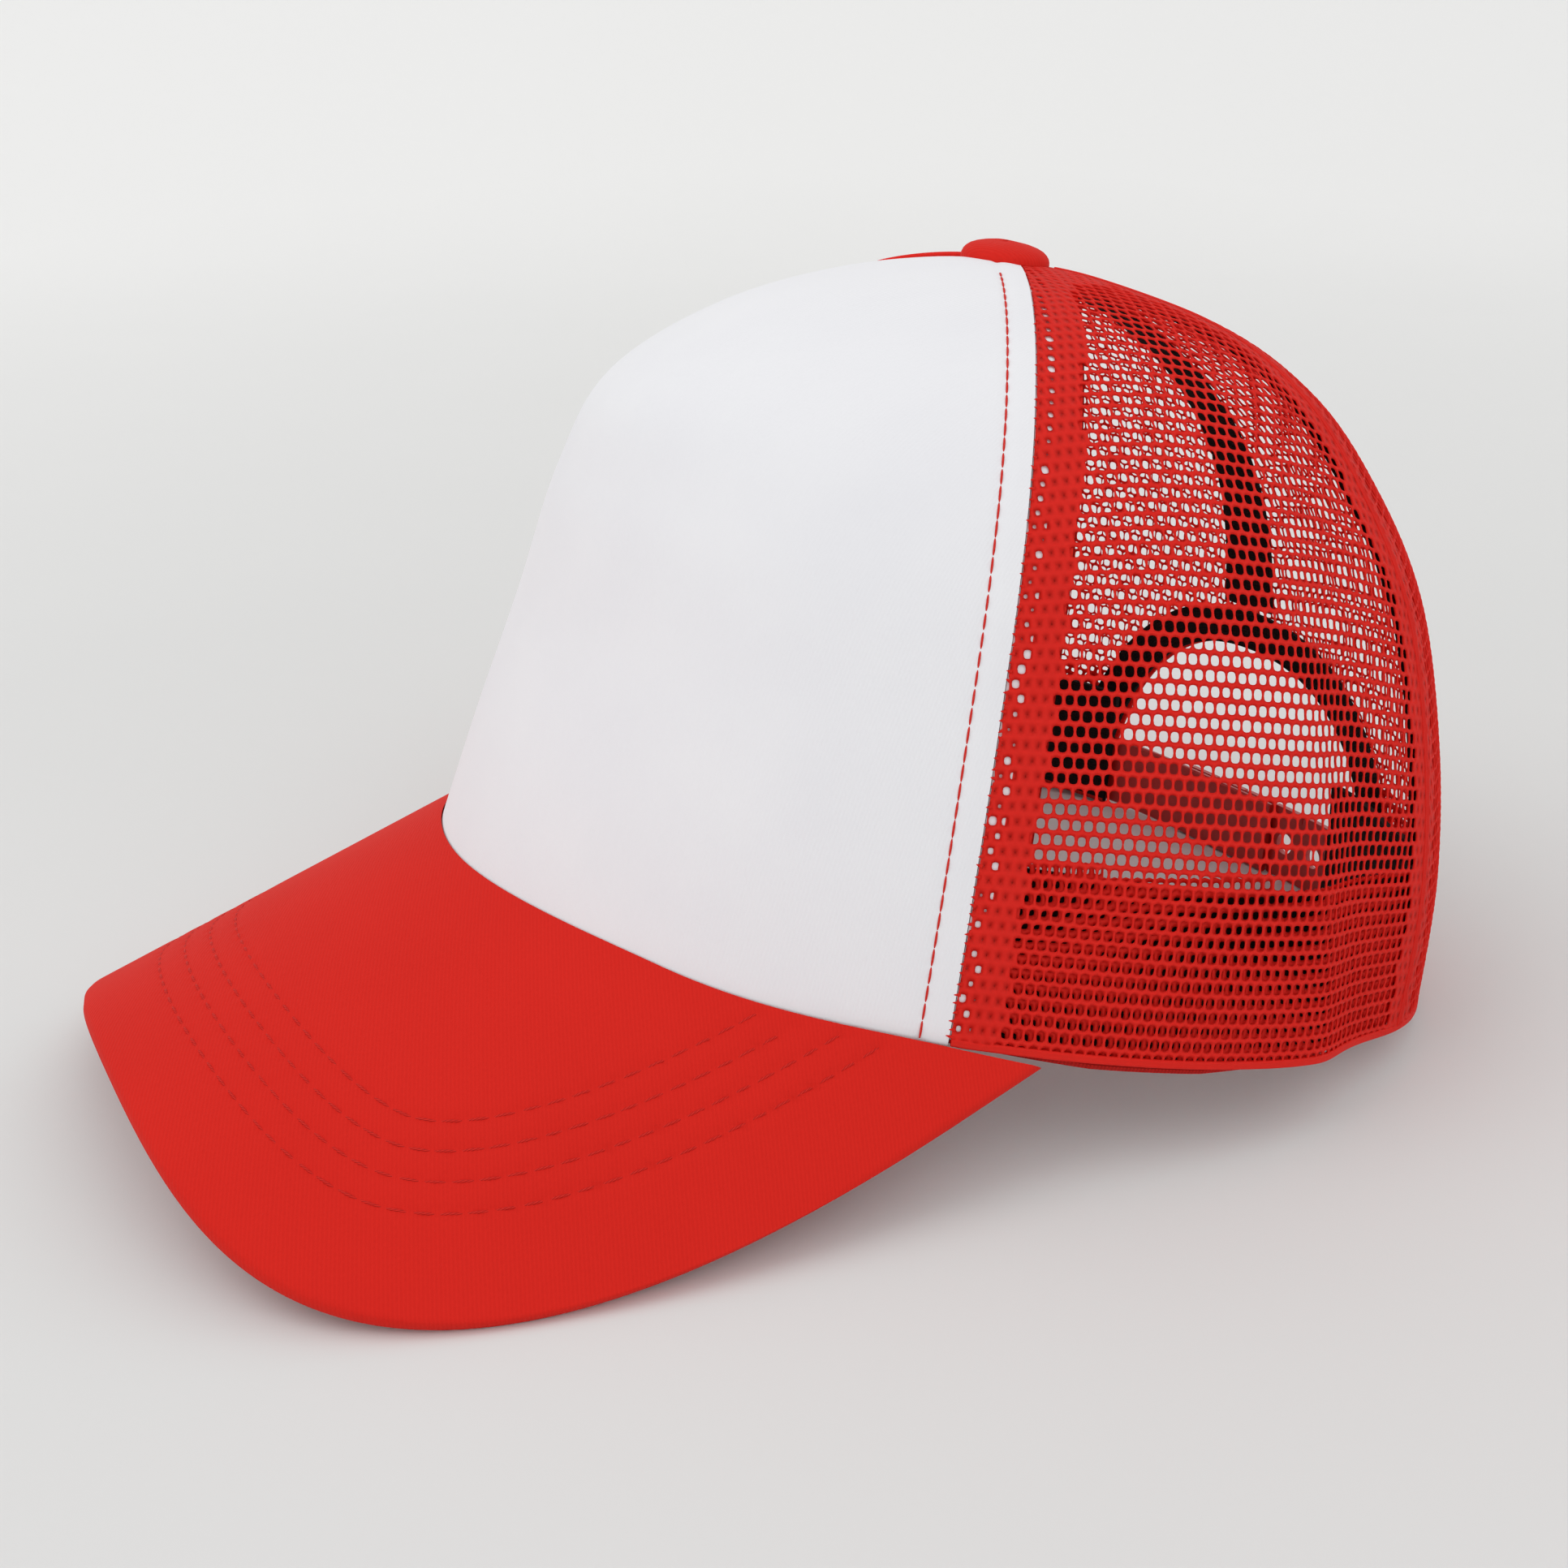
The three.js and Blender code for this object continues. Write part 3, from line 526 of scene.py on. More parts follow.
@dataclass
class Sketch:
    """A mesh in the making: points in millimetres in the resting frame, faces and a flat pattern."""

    points: list[Array] = field(default_factory=list)
    faces: list[list[int]] = field(default_factory=list)
    flat: list[Array] = field(default_factory=list)
    count: int = 0

    def add(self, points: Array, faces: Sequence[Sequence[int]], flat: Array | None = None) -> None:
        """Add points and the faces between them.

        Args:
            points: An array of points, one row each.
            faces: Faces as lists of row numbers.
            flat: The flat pattern's two values for each point, in millimetres.
        """
        rows = points.reshape(-1, 3)
        self.points.append(rows)
        self.flat.append(np.zeros((len(rows), 2)) if flat is None else flat.reshape(-1, 2))
        self.faces.extend([[index + self.count for index in face] for face in faces])
        self.count += len(rows)

    def shell(self, outer: Array, inner: Array, flat: Array | None = None) -> None:
        """Add a closed thick sheet.

        Args:
            outer: The outer face's points, in rows and columns.
            inner: The inner face's points.
            flat: The flat pattern's two values for each outer point.
        """
        rows, columns = outer.shape[:2]
        half = rows * columns
        faces = []
        for row in range(rows - 1):
            for column in range(columns - 1):
                start = row * columns + column
                faces.append([start, start + 1, start + columns + 1, start + columns])
                low = start + half
                faces.append([low + columns, low + columns + 1, low + 1, low])
        for column in range(columns - 1):
            faces.append([column + half, column + half + 1, column + 1, column])
            top = (rows - 1) * columns + column
            faces.append([top, top + 1, top + half + 1, top + half])
        for row in range(rows - 1):
            left = row * columns
            faces.append([left, left + columns, left + columns + half, left + half])
            right = left + columns - 1
            faces.append([right + half, right + columns + half, right + columns, right])
        both = None if flat is None else np.concatenate([flat.reshape(-1, 2), flat.reshape(-1, 2)])
        self.add(np.concatenate([outer.reshape(-1, 3), inner.reshape(-1, 3)]), faces, both)

    def tube(self, path: Array, radius: Array | float, sides: int = 6, squash: float = 1.0,
             lift: Array | None = None) -> None:
        """Add a closed round thread along a path.

        Args:
            path: The thread's points, at least two.
            radius: Its radius, one value or one per point.
            sides: How many sides it has.
            squash: How flat it lies against lift, 1 is round.
            lift: The direction that points away from the cloth, for each point.
        """
        count = len(path)
        radii = np.broadcast_to(np.asarray(radius, float), (count,))
        along = unit(np.gradient(path, axis=0))
        up = np.tile(np.array([0.0, 0.0, 1.0]), (count, 1)) if lift is None else lift
        across = unit(np.cross(along, up))
        normal = np.cross(across, along)
        turns = np.linspace(0.0, FULL_TURN, sides, endpoint=False)
        ring = (np.cos(turns)[None, :, None] * across[:, None, :]
                + squash * np.sin(turns)[None, :, None] * normal[:, None, :])
        points = path[:, None, :] + ring * radii[:, None, None]
        faces = ring_faces(count, sides)
        faces.append(list(range(sides))[::-1])
        faces.append([(count - 1) * sides + side for side in range(sides)])
        lengths = run_lengths(path)
        flat = np.stack(np.broadcast_arrays(lengths[:, None], turns[None, :]), -1)
        self.add(points.reshape(-1, 3), faces, flat)

    def build(self, name: str, node: str | Sequence[str] | None, slot: Slot, material: Material,
              sharp: float = 40.0) -> Piece:
        """Turn the sketch into a piece that rides on the hat.

        Args:
            name: The piece's plain name.
            node: The CAD node or nodes that it stands for, or None for trim.
            slot: The record's finish for it; not used.
            material: The look that it gets.
            sharp: The angle in degrees over which an edge stays crisp.

        Returns:
            The new object.
        """
        mesh = bpy.data.meshes.new(name)
        points = np.concatenate(self.points) * MM
        mesh.from_pydata(points.tolist(), [], self.faces)
        mesh.validate()
        flat = np.concatenate(self.flat)
        layer = mesh.uv_layers.new(name="flat")
        corner = np.empty(len(mesh.loops), dtype=np.int32)
        mesh.loops.foreach_get("vertex_index", corner)
        layer.data.foreach_set("uv", (flat[corner] * MM).astype(np.float32).ravel())
        mesh.shade_smooth()
        mesh.set_sharp_from_angle(angle=math.radians(sharp))
        mesh.materials.append(material)
        piece = bpy.data.objects.new(name, mesh)
        bpy.context.scene.collection.objects.link(piece)
        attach(piece, "root")
        if node is not None:
            names = [node] if isinstance(node, str) else list(node)
            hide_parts(*names)
        LOG.info("%s: %d faces", name, len(mesh.polygons))
        return piece


def add_node(tree: Tree, kind: str, settings: dict | None = None,
             inputs: dict | None = None) -> Node:
    """Add a shader node with its settings and links.

    Args:
        tree: The material's node tree.
        kind: The node's type name.
        settings: Attribute names and values.
        inputs: Input names or numbers, each with a value or an output socket to link.

    Returns:
        The new node.
    """
    node = tree.nodes.new(kind)
    for name, value in (settings or {}).items():
        setattr(node, name, value)
    for name, value in (inputs or {}).items():
        socket = node.inputs[name]
        if isinstance(value, Socket):
            tree.links.new(value, socket)
        else:
            socket.default_value = value
    return node


def new_tree(name: str) -> tuple[Material, Tree]:
    """Make an empty node material.

    Args:
        name: The material's name.

    Returns:
        The material and its node tree.
    """
    material = bpy.data.materials.new(name)
    material.use_nodes = True
    material.node_tree.nodes.clear()
    return material, material.node_tree


def maths(tree: Tree, operation: str, *values: float | Socket) -> Socket:
    """Add a math node on one to three values and give its output."""
    inputs = dict(enumerate(values))
    return add_node(tree, "ShaderNodeMath", {"operation": operation}, inputs).outputs[0]


def mix_colours(tree: Tree, share: float | Socket, first: tuple | Socket, second: tuple | Socket) -> Socket:
    """Mix two colours by a share and give the output."""
    node = add_node(tree, "ShaderNodeMix", {"data_type": "RGBA"}, {0: share, 6: first, 7: second})
    return node.outputs[2]


def bands(tree: Tree, place: Socket, pitch_mm: float, degrees: float = 0.0,
          waver: float = 0.5) -> Socket:
    """Draw soft bands of a real pitch, such as wales or filaments.

    Args:
        tree: The material's node tree.
        place: The flat pattern's coordinates, in metres.
        pitch_mm: The distance from one band to the next.
        degrees: How far the bands are turned.
        waver: How uneven they run.

    Returns:
        The bands' height from 0 to 1.
    """
    turned = add_node(tree, "ShaderNodeMapping", None,
                      {"Vector": place, "Rotation": (0.0, 0.0, math.radians(degrees))}).outputs[0]
    settings = {"wave_type": "BANDS", "bands_direction": "X"}
    scale = math.pi / 10.0 / (pitch_mm * MM)
    inputs = {"Vector": turned, "Scale": scale, "Distortion": waver, "Detail": 2.0, "Detail Scale": 1.5}
    return add_node(tree, "ShaderNodeTexWave", settings, inputs).outputs[1]


def mottle(tree: Tree, place: Socket, size_mm: float,
           detail: float = 2.0) -> Socket:
    """Draw clouds of about a real size, and give their value."""
    inputs = {"Vector": place, "Scale": 1.0 / (size_mm * MM), "Detail": detail}
    return add_node(tree, "ShaderNodeTexNoise", None, inputs).outputs[0]


def flat_pattern(tree: Tree) -> Socket:
    """Give the piece's flat pattern, in metres."""
    return add_node(tree, "ShaderNodeUVMap", {"uv_map": "flat"}).outputs[0]


def relief(tree: Tree, height: Socket, depth_mm: float,
           strength: float = 0.5) -> Socket:
    """Turn a height into a bumped normal of a real depth."""
    inputs = {"Strength": strength, "Distance": depth_mm * MM, "Height": height}
    return add_node(tree, "ShaderNodeBump", None, inputs).outputs[0]


def finish_tree(tree: Tree, inputs: dict, through_light: float = 0.0) -> None:
    """Add the surface shader and the material's output.

    Args:
        tree: The material's node tree.
        inputs: The surface shader's inputs.
        through_light: The share of light that thin cloth lets through.
    """
    surface = add_node(tree, "ShaderNodeBsdfPrincipled", None, inputs).outputs[0]
    if through_light > 0.0:
        glow = add_node(tree, "ShaderNodeBsdfTranslucent", None, {"Color": inputs["Base Color"]}).outputs[0]
        inputs = {0: through_light, 1: surface, 2: glow}
        surface = add_node(tree, "ShaderNodeMixShader", None, inputs).outputs[0]
    add_node(tree, "ShaderNodeOutputMaterial", None, {"Surface": surface})


@dataclass(frozen=True)
class LaminatedFoamCloth:
    """Polyester tricot bonded to foam, piece-dyed white: almost smooth, with a soft sheen."""

    name: str = "white_tricot_on_foam"
    colour: str = "#ececee"
    shade: str = "#e4e4e8"
    roughness: float = 0.8
    knit_mm: float = 0.6

    def build(self) -> Material:
        """Make the material.

        Returns:
            The material.
        """
        material, tree = new_tree(self.name)
        flat = flat_pattern(tree)
        colour = mix_colours(tree, mottle(tree, flat, 22.0, 3.0), linear(self.shade), linear(self.colour))
        height = maths(tree, "ADD", bands(tree, flat, self.knit_mm), mottle(tree, flat, 0.5))
        finish_tree(tree, {
            "Base Color": colour, "Roughness": self.roughness, "Sheen Weight": 0.12, "Sheen Roughness": 0.5,
            "Specular IOR Level": 0.25, "Normal": relief(tree, height, 0.05, 0.3),
        })
        return material


@dataclass(frozen=True)
class KnittedMeshYarn:
    """Polyester filament yarn, warp-knitted open and heat-set: bright red, and light glows through it."""

    name: str = "red_polyester_mesh"
    colour: str = "#ff3529"
    shade: str = "#f0281e"
    roughness: float = 0.6
    filament_mm: float = 0.2
    through_light: float = 0.4

    def build(self) -> Material:
        """Make the material.

        Returns:
            The material.
        """
        material, tree = new_tree(self.name)
        flat = flat_pattern(tree)
        loops = mottle(tree, flat, 0.9, 3.0)
        fine = maths(tree, "MULTIPLY", loops, 0.6)
        blend = maths(tree, "MULTIPLY_ADD", mottle(tree, flat, 14.0), 0.4, fine)
        colour = mix_colours(tree, blend, linear(self.shade), linear(self.colour))
        height = maths(tree, "ADD", bands(tree, flat, self.filament_mm, 58.0, 1.5), loops)
        finish_tree(tree, {
            "Base Color": colour, "Roughness": self.roughness, "Specular IOR Level": 0.2,
            "Normal": relief(tree, height, 0.06),
        }, self.through_light)
        return material


@dataclass(frozen=True)
class CottonTwill:
    """Brushed cotton twill, dyed red: fine slanting wales, matte, with a faint nap.

    The real wale is about 0.45 mm; it is drawn a little coarser so that it doesn't alias.
    """

    name: str = "red_cotton_twill"
    colour: str = "#d9241a"
    shade: str = "#c51c13"
    wale_mm: float = 0.62
    wale_degrees: float = 62.0
    relief_mm: float = 0.07
    roughness: float = 0.9

    def build(self) -> Material:
        """Make the material.

        Returns:
            The material.
        """
        material, tree = new_tree(self.name)
        flat = flat_pattern(tree)
        wale = bands(tree, flat, self.wale_mm, self.wale_degrees, 0.8)
        thread = mottle(tree, flat, 0.7, 3.0)
        fine = maths(tree, "MULTIPLY_ADD", wale, 0.22, maths(tree, "MULTIPLY", thread, 0.4))
        blend = maths(tree, "MULTIPLY_ADD", mottle(tree, flat, 26.0, 4.0), 0.45, fine)
        colour = mix_colours(tree, blend, linear(self.shade), linear(self.colour))
        height = maths(tree, "MULTIPLY_ADD", thread, 0.8, wale)
        finish_tree(tree, {
            "Base Color": colour, "Roughness": self.roughness, "Specular IOR Level": 0.18,
            "Sheen Weight": 0.12, "Sheen Roughness": 0.5, "Sheen Tint": linear("#ff6a5c"),
            "Normal": relief(tree, height, self.relief_mm),
        })
        return material


@dataclass(frozen=True)
class WovenTape:
    """Flat cotton tape, plain woven and vat-dyed: square threads with a dull face."""

    name: str
    colour: str
    shade: str
    thread_mm: float = 0.6
    roughness: float = 0.92

    def build(self) -> Material:
        """Make the material.

        Returns:
            The material.
        """
        material, tree = new_tree(self.name)
        flat = flat_pattern(tree)
        warp, weft = [bands(tree, flat, self.thread_mm, degrees) for degrees in (0.0, 90.0)]
        weave = maths(tree, "MULTIPLY", warp, weft)
        blend = maths(tree, "MULTIPLY_ADD", mottle(tree, flat, 1.4), 0.5, weave)
        colour = mix_colours(tree, blend, linear(self.shade), linear(self.colour))
        finish_tree(tree, {
            "Base Color": colour, "Roughness": self.roughness, "Specular IOR Level": 0.2,
            "Normal": relief(tree, weave, 0.12, 0.6),
        })
        return material


@dataclass(frozen=True)
class SewingThread:
    """Spun polyester sewing thread: two plies twisted round each other, a little shiny."""

    name: str
    colour: str
    shade: str
    twist_mm: float = 0.7

    def build(self) -> Material:
        """Make the material.

        Returns:
            The material.
        """
        material, tree = new_tree(self.name)
        ply = bands(tree, flat_pattern(tree), self.twist_mm, 30.0, 0.2)
        colour = mix_colours(tree, ply, linear(self.shade), linear(self.colour))
        finish_tree(tree, {"Base Color": colour, "Roughness": 0.7, "Specular IOR Level": 0.2,
                           "Normal": relief(tree, ply, 0.06)})
        return material


@dataclass(frozen=True)
class MouldedPolyethylene:
    """Low-density polyethylene, injection moulded: satin gloss, slight waxy depth and tiny scuffs."""

    name: str = "red_moulded_polyethylene"
    colour: str = "#c11c15"
    shade: str = "#a5130e"
    roughness: float = 0.34

    def build(self) -> Material:
        """Make the material.

        Returns:
            The material.
        """
        material, tree = new_tree(self.name)
        place = add_node(tree, "ShaderNodeTexCoord").outputs["Object"]
        scuffs = mottle(tree, place, 0.7)
        colour = mix_colours(tree, mottle(tree, place, 8.0, 4.0), linear(self.shade), linear(self.colour))
        roughness = maths(tree, "MULTIPLY_ADD", scuffs, 0.18, self.roughness - 0.06)
        finish_tree(tree, {
            "Base Color": colour, "Roughness": roughness,
            "IOR": 1.51, "Subsurface Weight": 0.08, "Subsurface Scale": 0.003,
            "Normal": relief(tree, scuffs, 0.04, 0.2),
        })
        return material


@dataclass(frozen=True)
class PaleSheet:
    """Matte coated paper under the hat, with hardly any texture; its tone is painted shade and light, darker
    near the hat and lighter far away.
    """

    name: str = "pale_backdrop"
    # near is painted shade, the darker tone by the hat; far is painted light, the lighter tone away from it
    near: str = "#dcdcdb"
    far: str = "#f1f1f0"

    def build(self) -> Material:
        """Make the material.

        Returns:
            The material.
        """
        material, tree = new_tree(self.name)
        place = add_node(tree, "ShaderNodeTexCoord").outputs["Object"]
        away = add_node(tree, "ShaderNodeVectorMath", {"operation": "LENGTH"}, {0: place}).outputs["Value"]
        # painted shade and light: the tone runs from the darker near colour by the hat to the lighter far
        # colour, standing in for how the light falls off
        share = add_node(tree, "ShaderNodeMapRange", None, {0: away, 1: 0.3, 2: 1.5}).outputs[0]
        blend = maths(tree, "MULTIPLY_ADD", mottle(tree, place, 160.0), 0.08, share)
        colour = mix_colours(tree, blend, linear(self.near), linear(self.far))
        finish_tree(tree, {"Base Color": colour, "Roughness": 0.85, "Specular IOR Level": 0.1})
        return material


@dataclass
class Finishes:
    """Every material of the hat, made once."""

    foam: Material = field(default_factory=LaminatedFoamCloth().build)
    mesh: Material = field(default_factory=KnittedMeshYarn().build)
    twill: Material = field(default_factory=CottonTwill().build)
    band: Material = field(default_factory=WovenTape("red_cotton_tape", "#c4201a", "#96120d").build)
    dark: Material = field(default_factory=WovenTape("black_binding_tape", "#231616", "#0d0808").build)
    plastic: Material = field(default_factory=MouldedPolyethylene().build)
    thread: Material = field(default_factory=SewingThread("red_sewing_thread", "#e2352b", "#b51a14").build)
    bill_thread: Material = field(default_factory=SewingThread("red_bill_thread", "#d9261c", "#a5150e").build)


@dataclass
class FlatNet:
    """Maps a flat net on to the crown: rows are straight on the flat and start square to a middle line."""

    middle: float
    reach: float = 80.0
    step: float = 1.0
    samples: int = 260
    lowest: float = -0.4
    below_top: float = 0.02
    nudge: float = 0.01
    steepest: float = 1.3
    lengths: Array = field(init=False)
    angles: Array = field(init=False)
    positions: Array = field(init=False)

    def __post_init__(self) -> None:
        """Run every row once, to both sides of the middle line."""
        start = np.linspace(self.lowest, CROWN.top_position - self.below_top, self.samples)
        spine = CROWN.point(np.full_like(start, self.middle), start)
        lengths = run_lengths(spine)
        self.lengths = lengths - np.interp(0.0, start, lengths)
        left, right = self.run(start, -1.0), self.run(start, 1.0)
        self.angles = np.concatenate([left[0][:0:-1], right[0]])
        self.positions = np.concatenate([left[1][:0:-1], right[1]])

    def run(self, start: Array, side: float) -> tuple[Array, Array]:
        """Follow the rows straight ahead over the cloth, to one side.

        Args:
            start: The rows' positions on the middle line.
            side: 1 towards larger angles, -1 towards smaller ones.

        Returns:
            The angles and the positions, one line for each step.
        """
        nudge = self.nudge
        angle = np.full_like(start, self.middle)
        position = start.copy()
        lean = np.zeros_like(start)
        angles, positions = [angle], [position]
        for _ in range(int(self.reach / self.step)):
            upward = np.linalg.norm(CROWN.point(angle, position + nudge)
                                    - CROWN.point(angle, position - nudge), axis=-1) / (2 * nudge)
            low, high = [np.linalg.norm(CROWN.point(angle + nudge, position + shift)
                                        - CROWN.point(angle - nudge, position + shift), axis=-1) / (2 * nudge)
                         for shift in (-nudge, nudge)]
            around = (low + high) / 2
            lean = lean + self.step * np.cos(lean) * (high - low) / (2 * nudge * upward) / around
            lean = np.clip(lean, -self.steepest, self.steepest)
            angle = angle + side * self.step * np.cos(lean) / around
            position = np.maximum(position + self.step * np.sin(lean) / upward, self.lowest)
            angles.append(angle)
            positions.append(position)
        return np.array(angles), np.array(positions)

    def locate(self, across: Array, up: Array) -> tuple[Array, Array]:
        """Give the crown's angles and positions for flat distances.

        Args:
            across: Distances across from the middle line.
            up: Distances up from the rim, along the middle line.

        Returns:
            Angles and positions.
        """
        line = np.clip((across + self.reach) / self.step, 0.0, len(self.angles) - 1.001)
        row = np.interp(up, self.lengths, np.arange(self.samples))
        row = np.clip(row, 0.0, self.samples - 1.001)
        low_line, low_row = line.astype(int), row.astype(int)
        line_share, row_share = line - low_line, row - low_row
        found = []
        for table in (self.angles, self.positions):
            first, other = [table[line, low_row] * (1 - row_share) + table[line, low_row + 1] * row_share
                            for line in (low_line, low_line + 1)]
            found.append(first * (1 - line_share) + other * line_share)
        return found[0], found[1]


def crown_flat(angle: Array, position: Array) -> Array:
    """Give a plain flat pattern for points of the crown: round it, and up it."""
    return np.stack([angle * CROWN.radius(angle, position), CROWN.height_at(position)], -1)


@dataclass(frozen=True)
class NetCell:
    """One cell of the knitted mesh: a rounded hole in staggered rows, measured on the photo."""

    across: float = 1.86
    up: float = 2.46
    hole_across: float = 1.44
    hole_up: float = 1.74
    corners: int = 12
    squareness: float = 2.8

    def rings(self) -> tuple[Array, Array]:
        """Give the cell's outer and hole corners about its middle.

        Returns:
            Two rings of points, both with the same number of corners.
        """
        side = (self.up ** 2 - self.across ** 2 / 4) / (2 * self.up)
        tip = self.up - side
        half = self.across / 2
        right = [(half, -side), (half, side), (0.0, tip)]
        hexagon = np.array(right + [(-x, -y) for x, y in right])
        outer = []
        for index, corner in enumerate(hexagon):
            following = hexagon[(index + 1) % 6]
            outer.extend([corner, (corner + following) / 2])
        outer = np.array(outer)
        turn = np.arctan2(outer[:, 1] / tip, outer[:, 0] / half)
        cosine, sine = np.cos(turn), np.sin(turn)
        size = (np.abs(cosine) ** self.squareness + np.abs(sine) ** self.squareness) ** (-1 / self.squareness)
        hole = np.stack([size * cosine * self.hole_across / 2, size * sine * self.hole_up / 2], -1)
        return outer, hole


@dataclass
class NetPanel:
    """One open-knit panel, cut from a flat net: its rows run straight where the cloth lies flat.

    Beside the front seam the holes are drawn small. The seed sets how uneven the knit is.
    """

    name: str
    node: str | None
    low: float
    high: float
    finishes: Finishes
    cell: NetCell = field(default_factory=NetCell)
    outer_depth: float = 0.0
    middle_depth: float = 0.22
    inner_depth: float = 0.44
    edge_margin: float = 0.45
    hem: float = 1.3
    front_zone: float = 3.1
    fold_zone: float = 7.6
    front_hole: float = 0.55
    fold_hole: float = 0.1
    edge_hole: float = 0.1
    peak_zone: float = 22.0
    seam_zone: float = 4.5
    lattice_shift: tuple[float, float] = (0.0, 0.0)
    top_height: float = 1000.0
    has_arch: bool = False
    seed: int = 7
    wobble: float = 0.03
    size_chance: float = 0.05
    front_chance: float = 0.22
    edge_zone: float = 0.9
    hole_limits: tuple[float, float] = (0.08, 1.12)
    rows_below: int = 3
    yarn_sink: float = 0.06
    smallest_face: float = 0.004

    def fit(self, angle: Array, position: Array) -> tuple[Array, Array]:
        """Move points that lie past the panel's outline back on to it.

        Args:
            angle: Angles round the crown.
            position: Positions up the crown.

        Returns:
            The fitted angles and positions.
        """
        radius = np.maximum(CROWN.radius(angle, np.maximum(position, 0.0)), 1.0)
        low = self.low + PIECE_GAP / 2 / radius
        high = self.high - PIECE_GAP / 2 / radius
        angle = np.clip(angle, low, high)
        foot = CROWN.position_at(CROWN_FOOT(angle) + self.hem * 0.5)
        position = np.clip(position, foot, CROWN.top_position)
        if self.has_arch:
            points = CROWN.point(angle, position)
            value = OPENING.reach(points)
            short = value < 1.0
            if np.any(short):
                scale = 1.0 / np.maximum(value[short], 0.2)
                height = np.maximum(points[short, 2], 0.5) * scale
                moved = CROWN.position_at(height)
                across = points[short, 0] * scale
                angle = angle.copy()
                position = position.copy()
                angle[short] = CROWN.angle_across(across, moved, 0.0)
                position[short] = moved
                turned = angle - FULL_TURN * np.round((angle - (self.low + self.high) / 2) / FULL_TURN)
                angle = np.clip(turned, low, high)
        return angle, position

    def keeps(self, angle: Array, position: Array) -> Array:
        """Say which cells have their middle on the panel.

        Args:
            angle: The middles' angles.
            position: The middles' positions.

        Returns:
            True for each cell that is kept.
        """
        points = CROWN.point(angle, position)
        radius = np.maximum(np.hypot(points[..., 0], points[..., 1]), 1.0)
        margin = self.edge_margin / radius
        keep = (angle > self.low - margin) & (angle < self.high + margin)
        keep &= points[..., 2] > CROWN_FOOT(angle) - self.edge_margin + self.hem * 0.5
        keep &= points[..., 2] < self.top_height
        keep &= position < CROWN.top_position - 0.05
        if self.has_arch:
            keep &= OPENING.reach(points) > 1.0 - self.edge_margin / OPENING.half_width
        return keep

    def hole_share(self, angle: Array, position: Array, chance: Array) -> Array:
        """Give how open each hole is, from its distance to the front seam.

        Args:
            angle: The holes' angles.
            position: The holes' positions.
            chance: A chance value for each hole.

        Returns:
            Shares of the full size.
        """
        radius = CROWN.radius(angle, position)
        near = np.abs(np.abs(angle) - CROWN.front_seam) * radius
        share = 1.0 + self.size_chance * chance
        rear = np.abs(np.abs(angle) - CROWN.back_seam) * radius
        closed = (near < self.fold_zone) | (radius < self.peak_zone) | (rear < self.seam_zone)
        share = np.where(closed, self.fold_hole, share)
        share = np.where(near < self.front_zone, self.front_hole + self.front_chance * chance, share)
        share = np.where(near < self.edge_zone, self.edge_hole, share)
        return np.clip(share, *self.hole_limits)

    def build(self) -> Piece:
        """Knit the panel.

        Returns:
            The panel's object.
        """
        net = FlatNet((self.low + self.high) / 2)
        cell = self.cell
        columns = np.arange(-int(net.reach / cell.across), int(net.reach / cell.across) + 1)
        rows = np.arange(-self.rows_below, int(net.lengths[-1] / cell.up) + 1)
        grid_row, grid_column = np.meshgrid(rows, columns, indexing="ij")
        across = ((grid_column + 0.5 * (grid_row % 2)) * cell.across).ravel() + self.lattice_shift[0]
        up = ((grid_row + 0.5) * cell.up).ravel() + self.lattice_shift[1]
        angle, position = net.locate(across, up)
        keep = self.keeps(angle, position)
        across, up, angle, position = (values[keep] for values in (across, up, angle, position))
        outer, hole = cell.rings()
        corners = cell.corners
        chance = np.random.default_rng(self.seed).normal(0.0, 1.0, (len(across), 3))
        share = self.hole_share(angle, position, chance[:, 0])
        hole_points = hole[None] * share[:, None, None] + self.wobble * chance[:, None, 1:3]
        middles = np.stack([across, up], -1)[:, None, :]
        outline = (middles + outer[None]).reshape(-1, 2)
        holes = (middles + hole_points).reshape(-1, 2)
        keys, shared = np.unique(np.round(outline, 3), axis=0, return_inverse=True)
        shared = shared.reshape(len(across), corners)
        ridge_angle, ridge_position = self.fit(*net.locate(keys[:, 0], keys[:, 1]))
        sway = self.yarn_sink * (1.0 + np.sin(keys[:, 0] * 2.3 + keys[:, 1] * 1.7))
        ridge_out = CROWN.inside(ridge_angle, ridge_position, self.outer_depth + sway)
        ridge_in = CROWN.inside(ridge_angle, ridge_position, self.inner_depth + sway)
        hole_angle, hole_position = self.fit(*net.locate(holes[:, 0], holes[:, 1]))
        rounded = np.clip(2.0 * share, 0.3, 1.0)
        sunk = self.outer_depth + (self.middle_depth - self.outer_depth) * rounded
        rim = CROWN.inside(hole_angle, hole_position, np.repeat(sunk, corners))
        count = len(keys)
        numbers = 2 * count + np.arange(len(across) * corners).reshape(len(across), corners)
        following = np.roll(np.arange(corners), -1)
        front = np.stack([shared, shared[:, following], numbers[:, following], numbers], -1).reshape(-1, 4)
        back = np.stack([numbers, numbers[:, following], shared[:, following] + count, shared + count], -1)
        faces = np.concatenate([front, back.reshape(-1, 4)])
        points = POSE.place(np.concatenate([ridge_out, ridge_in, rim]))
        corner_points = points[faces]
        spans = [corner_points[:, end] - corner_points[:, start] for start, end in ((0, 2), (1, 3))]
        sound = np.linalg.norm(np.cross(*spans), axis=1) > self.smallest_face
        sketch = Sketch()
        sketch.add(points, faces[sound].tolist(), np.concatenate([keys, keys, holes]))
        return sketch.build(self.name, self.node, Slot.MESH, self.finishes.mesh, sharp=180.0)


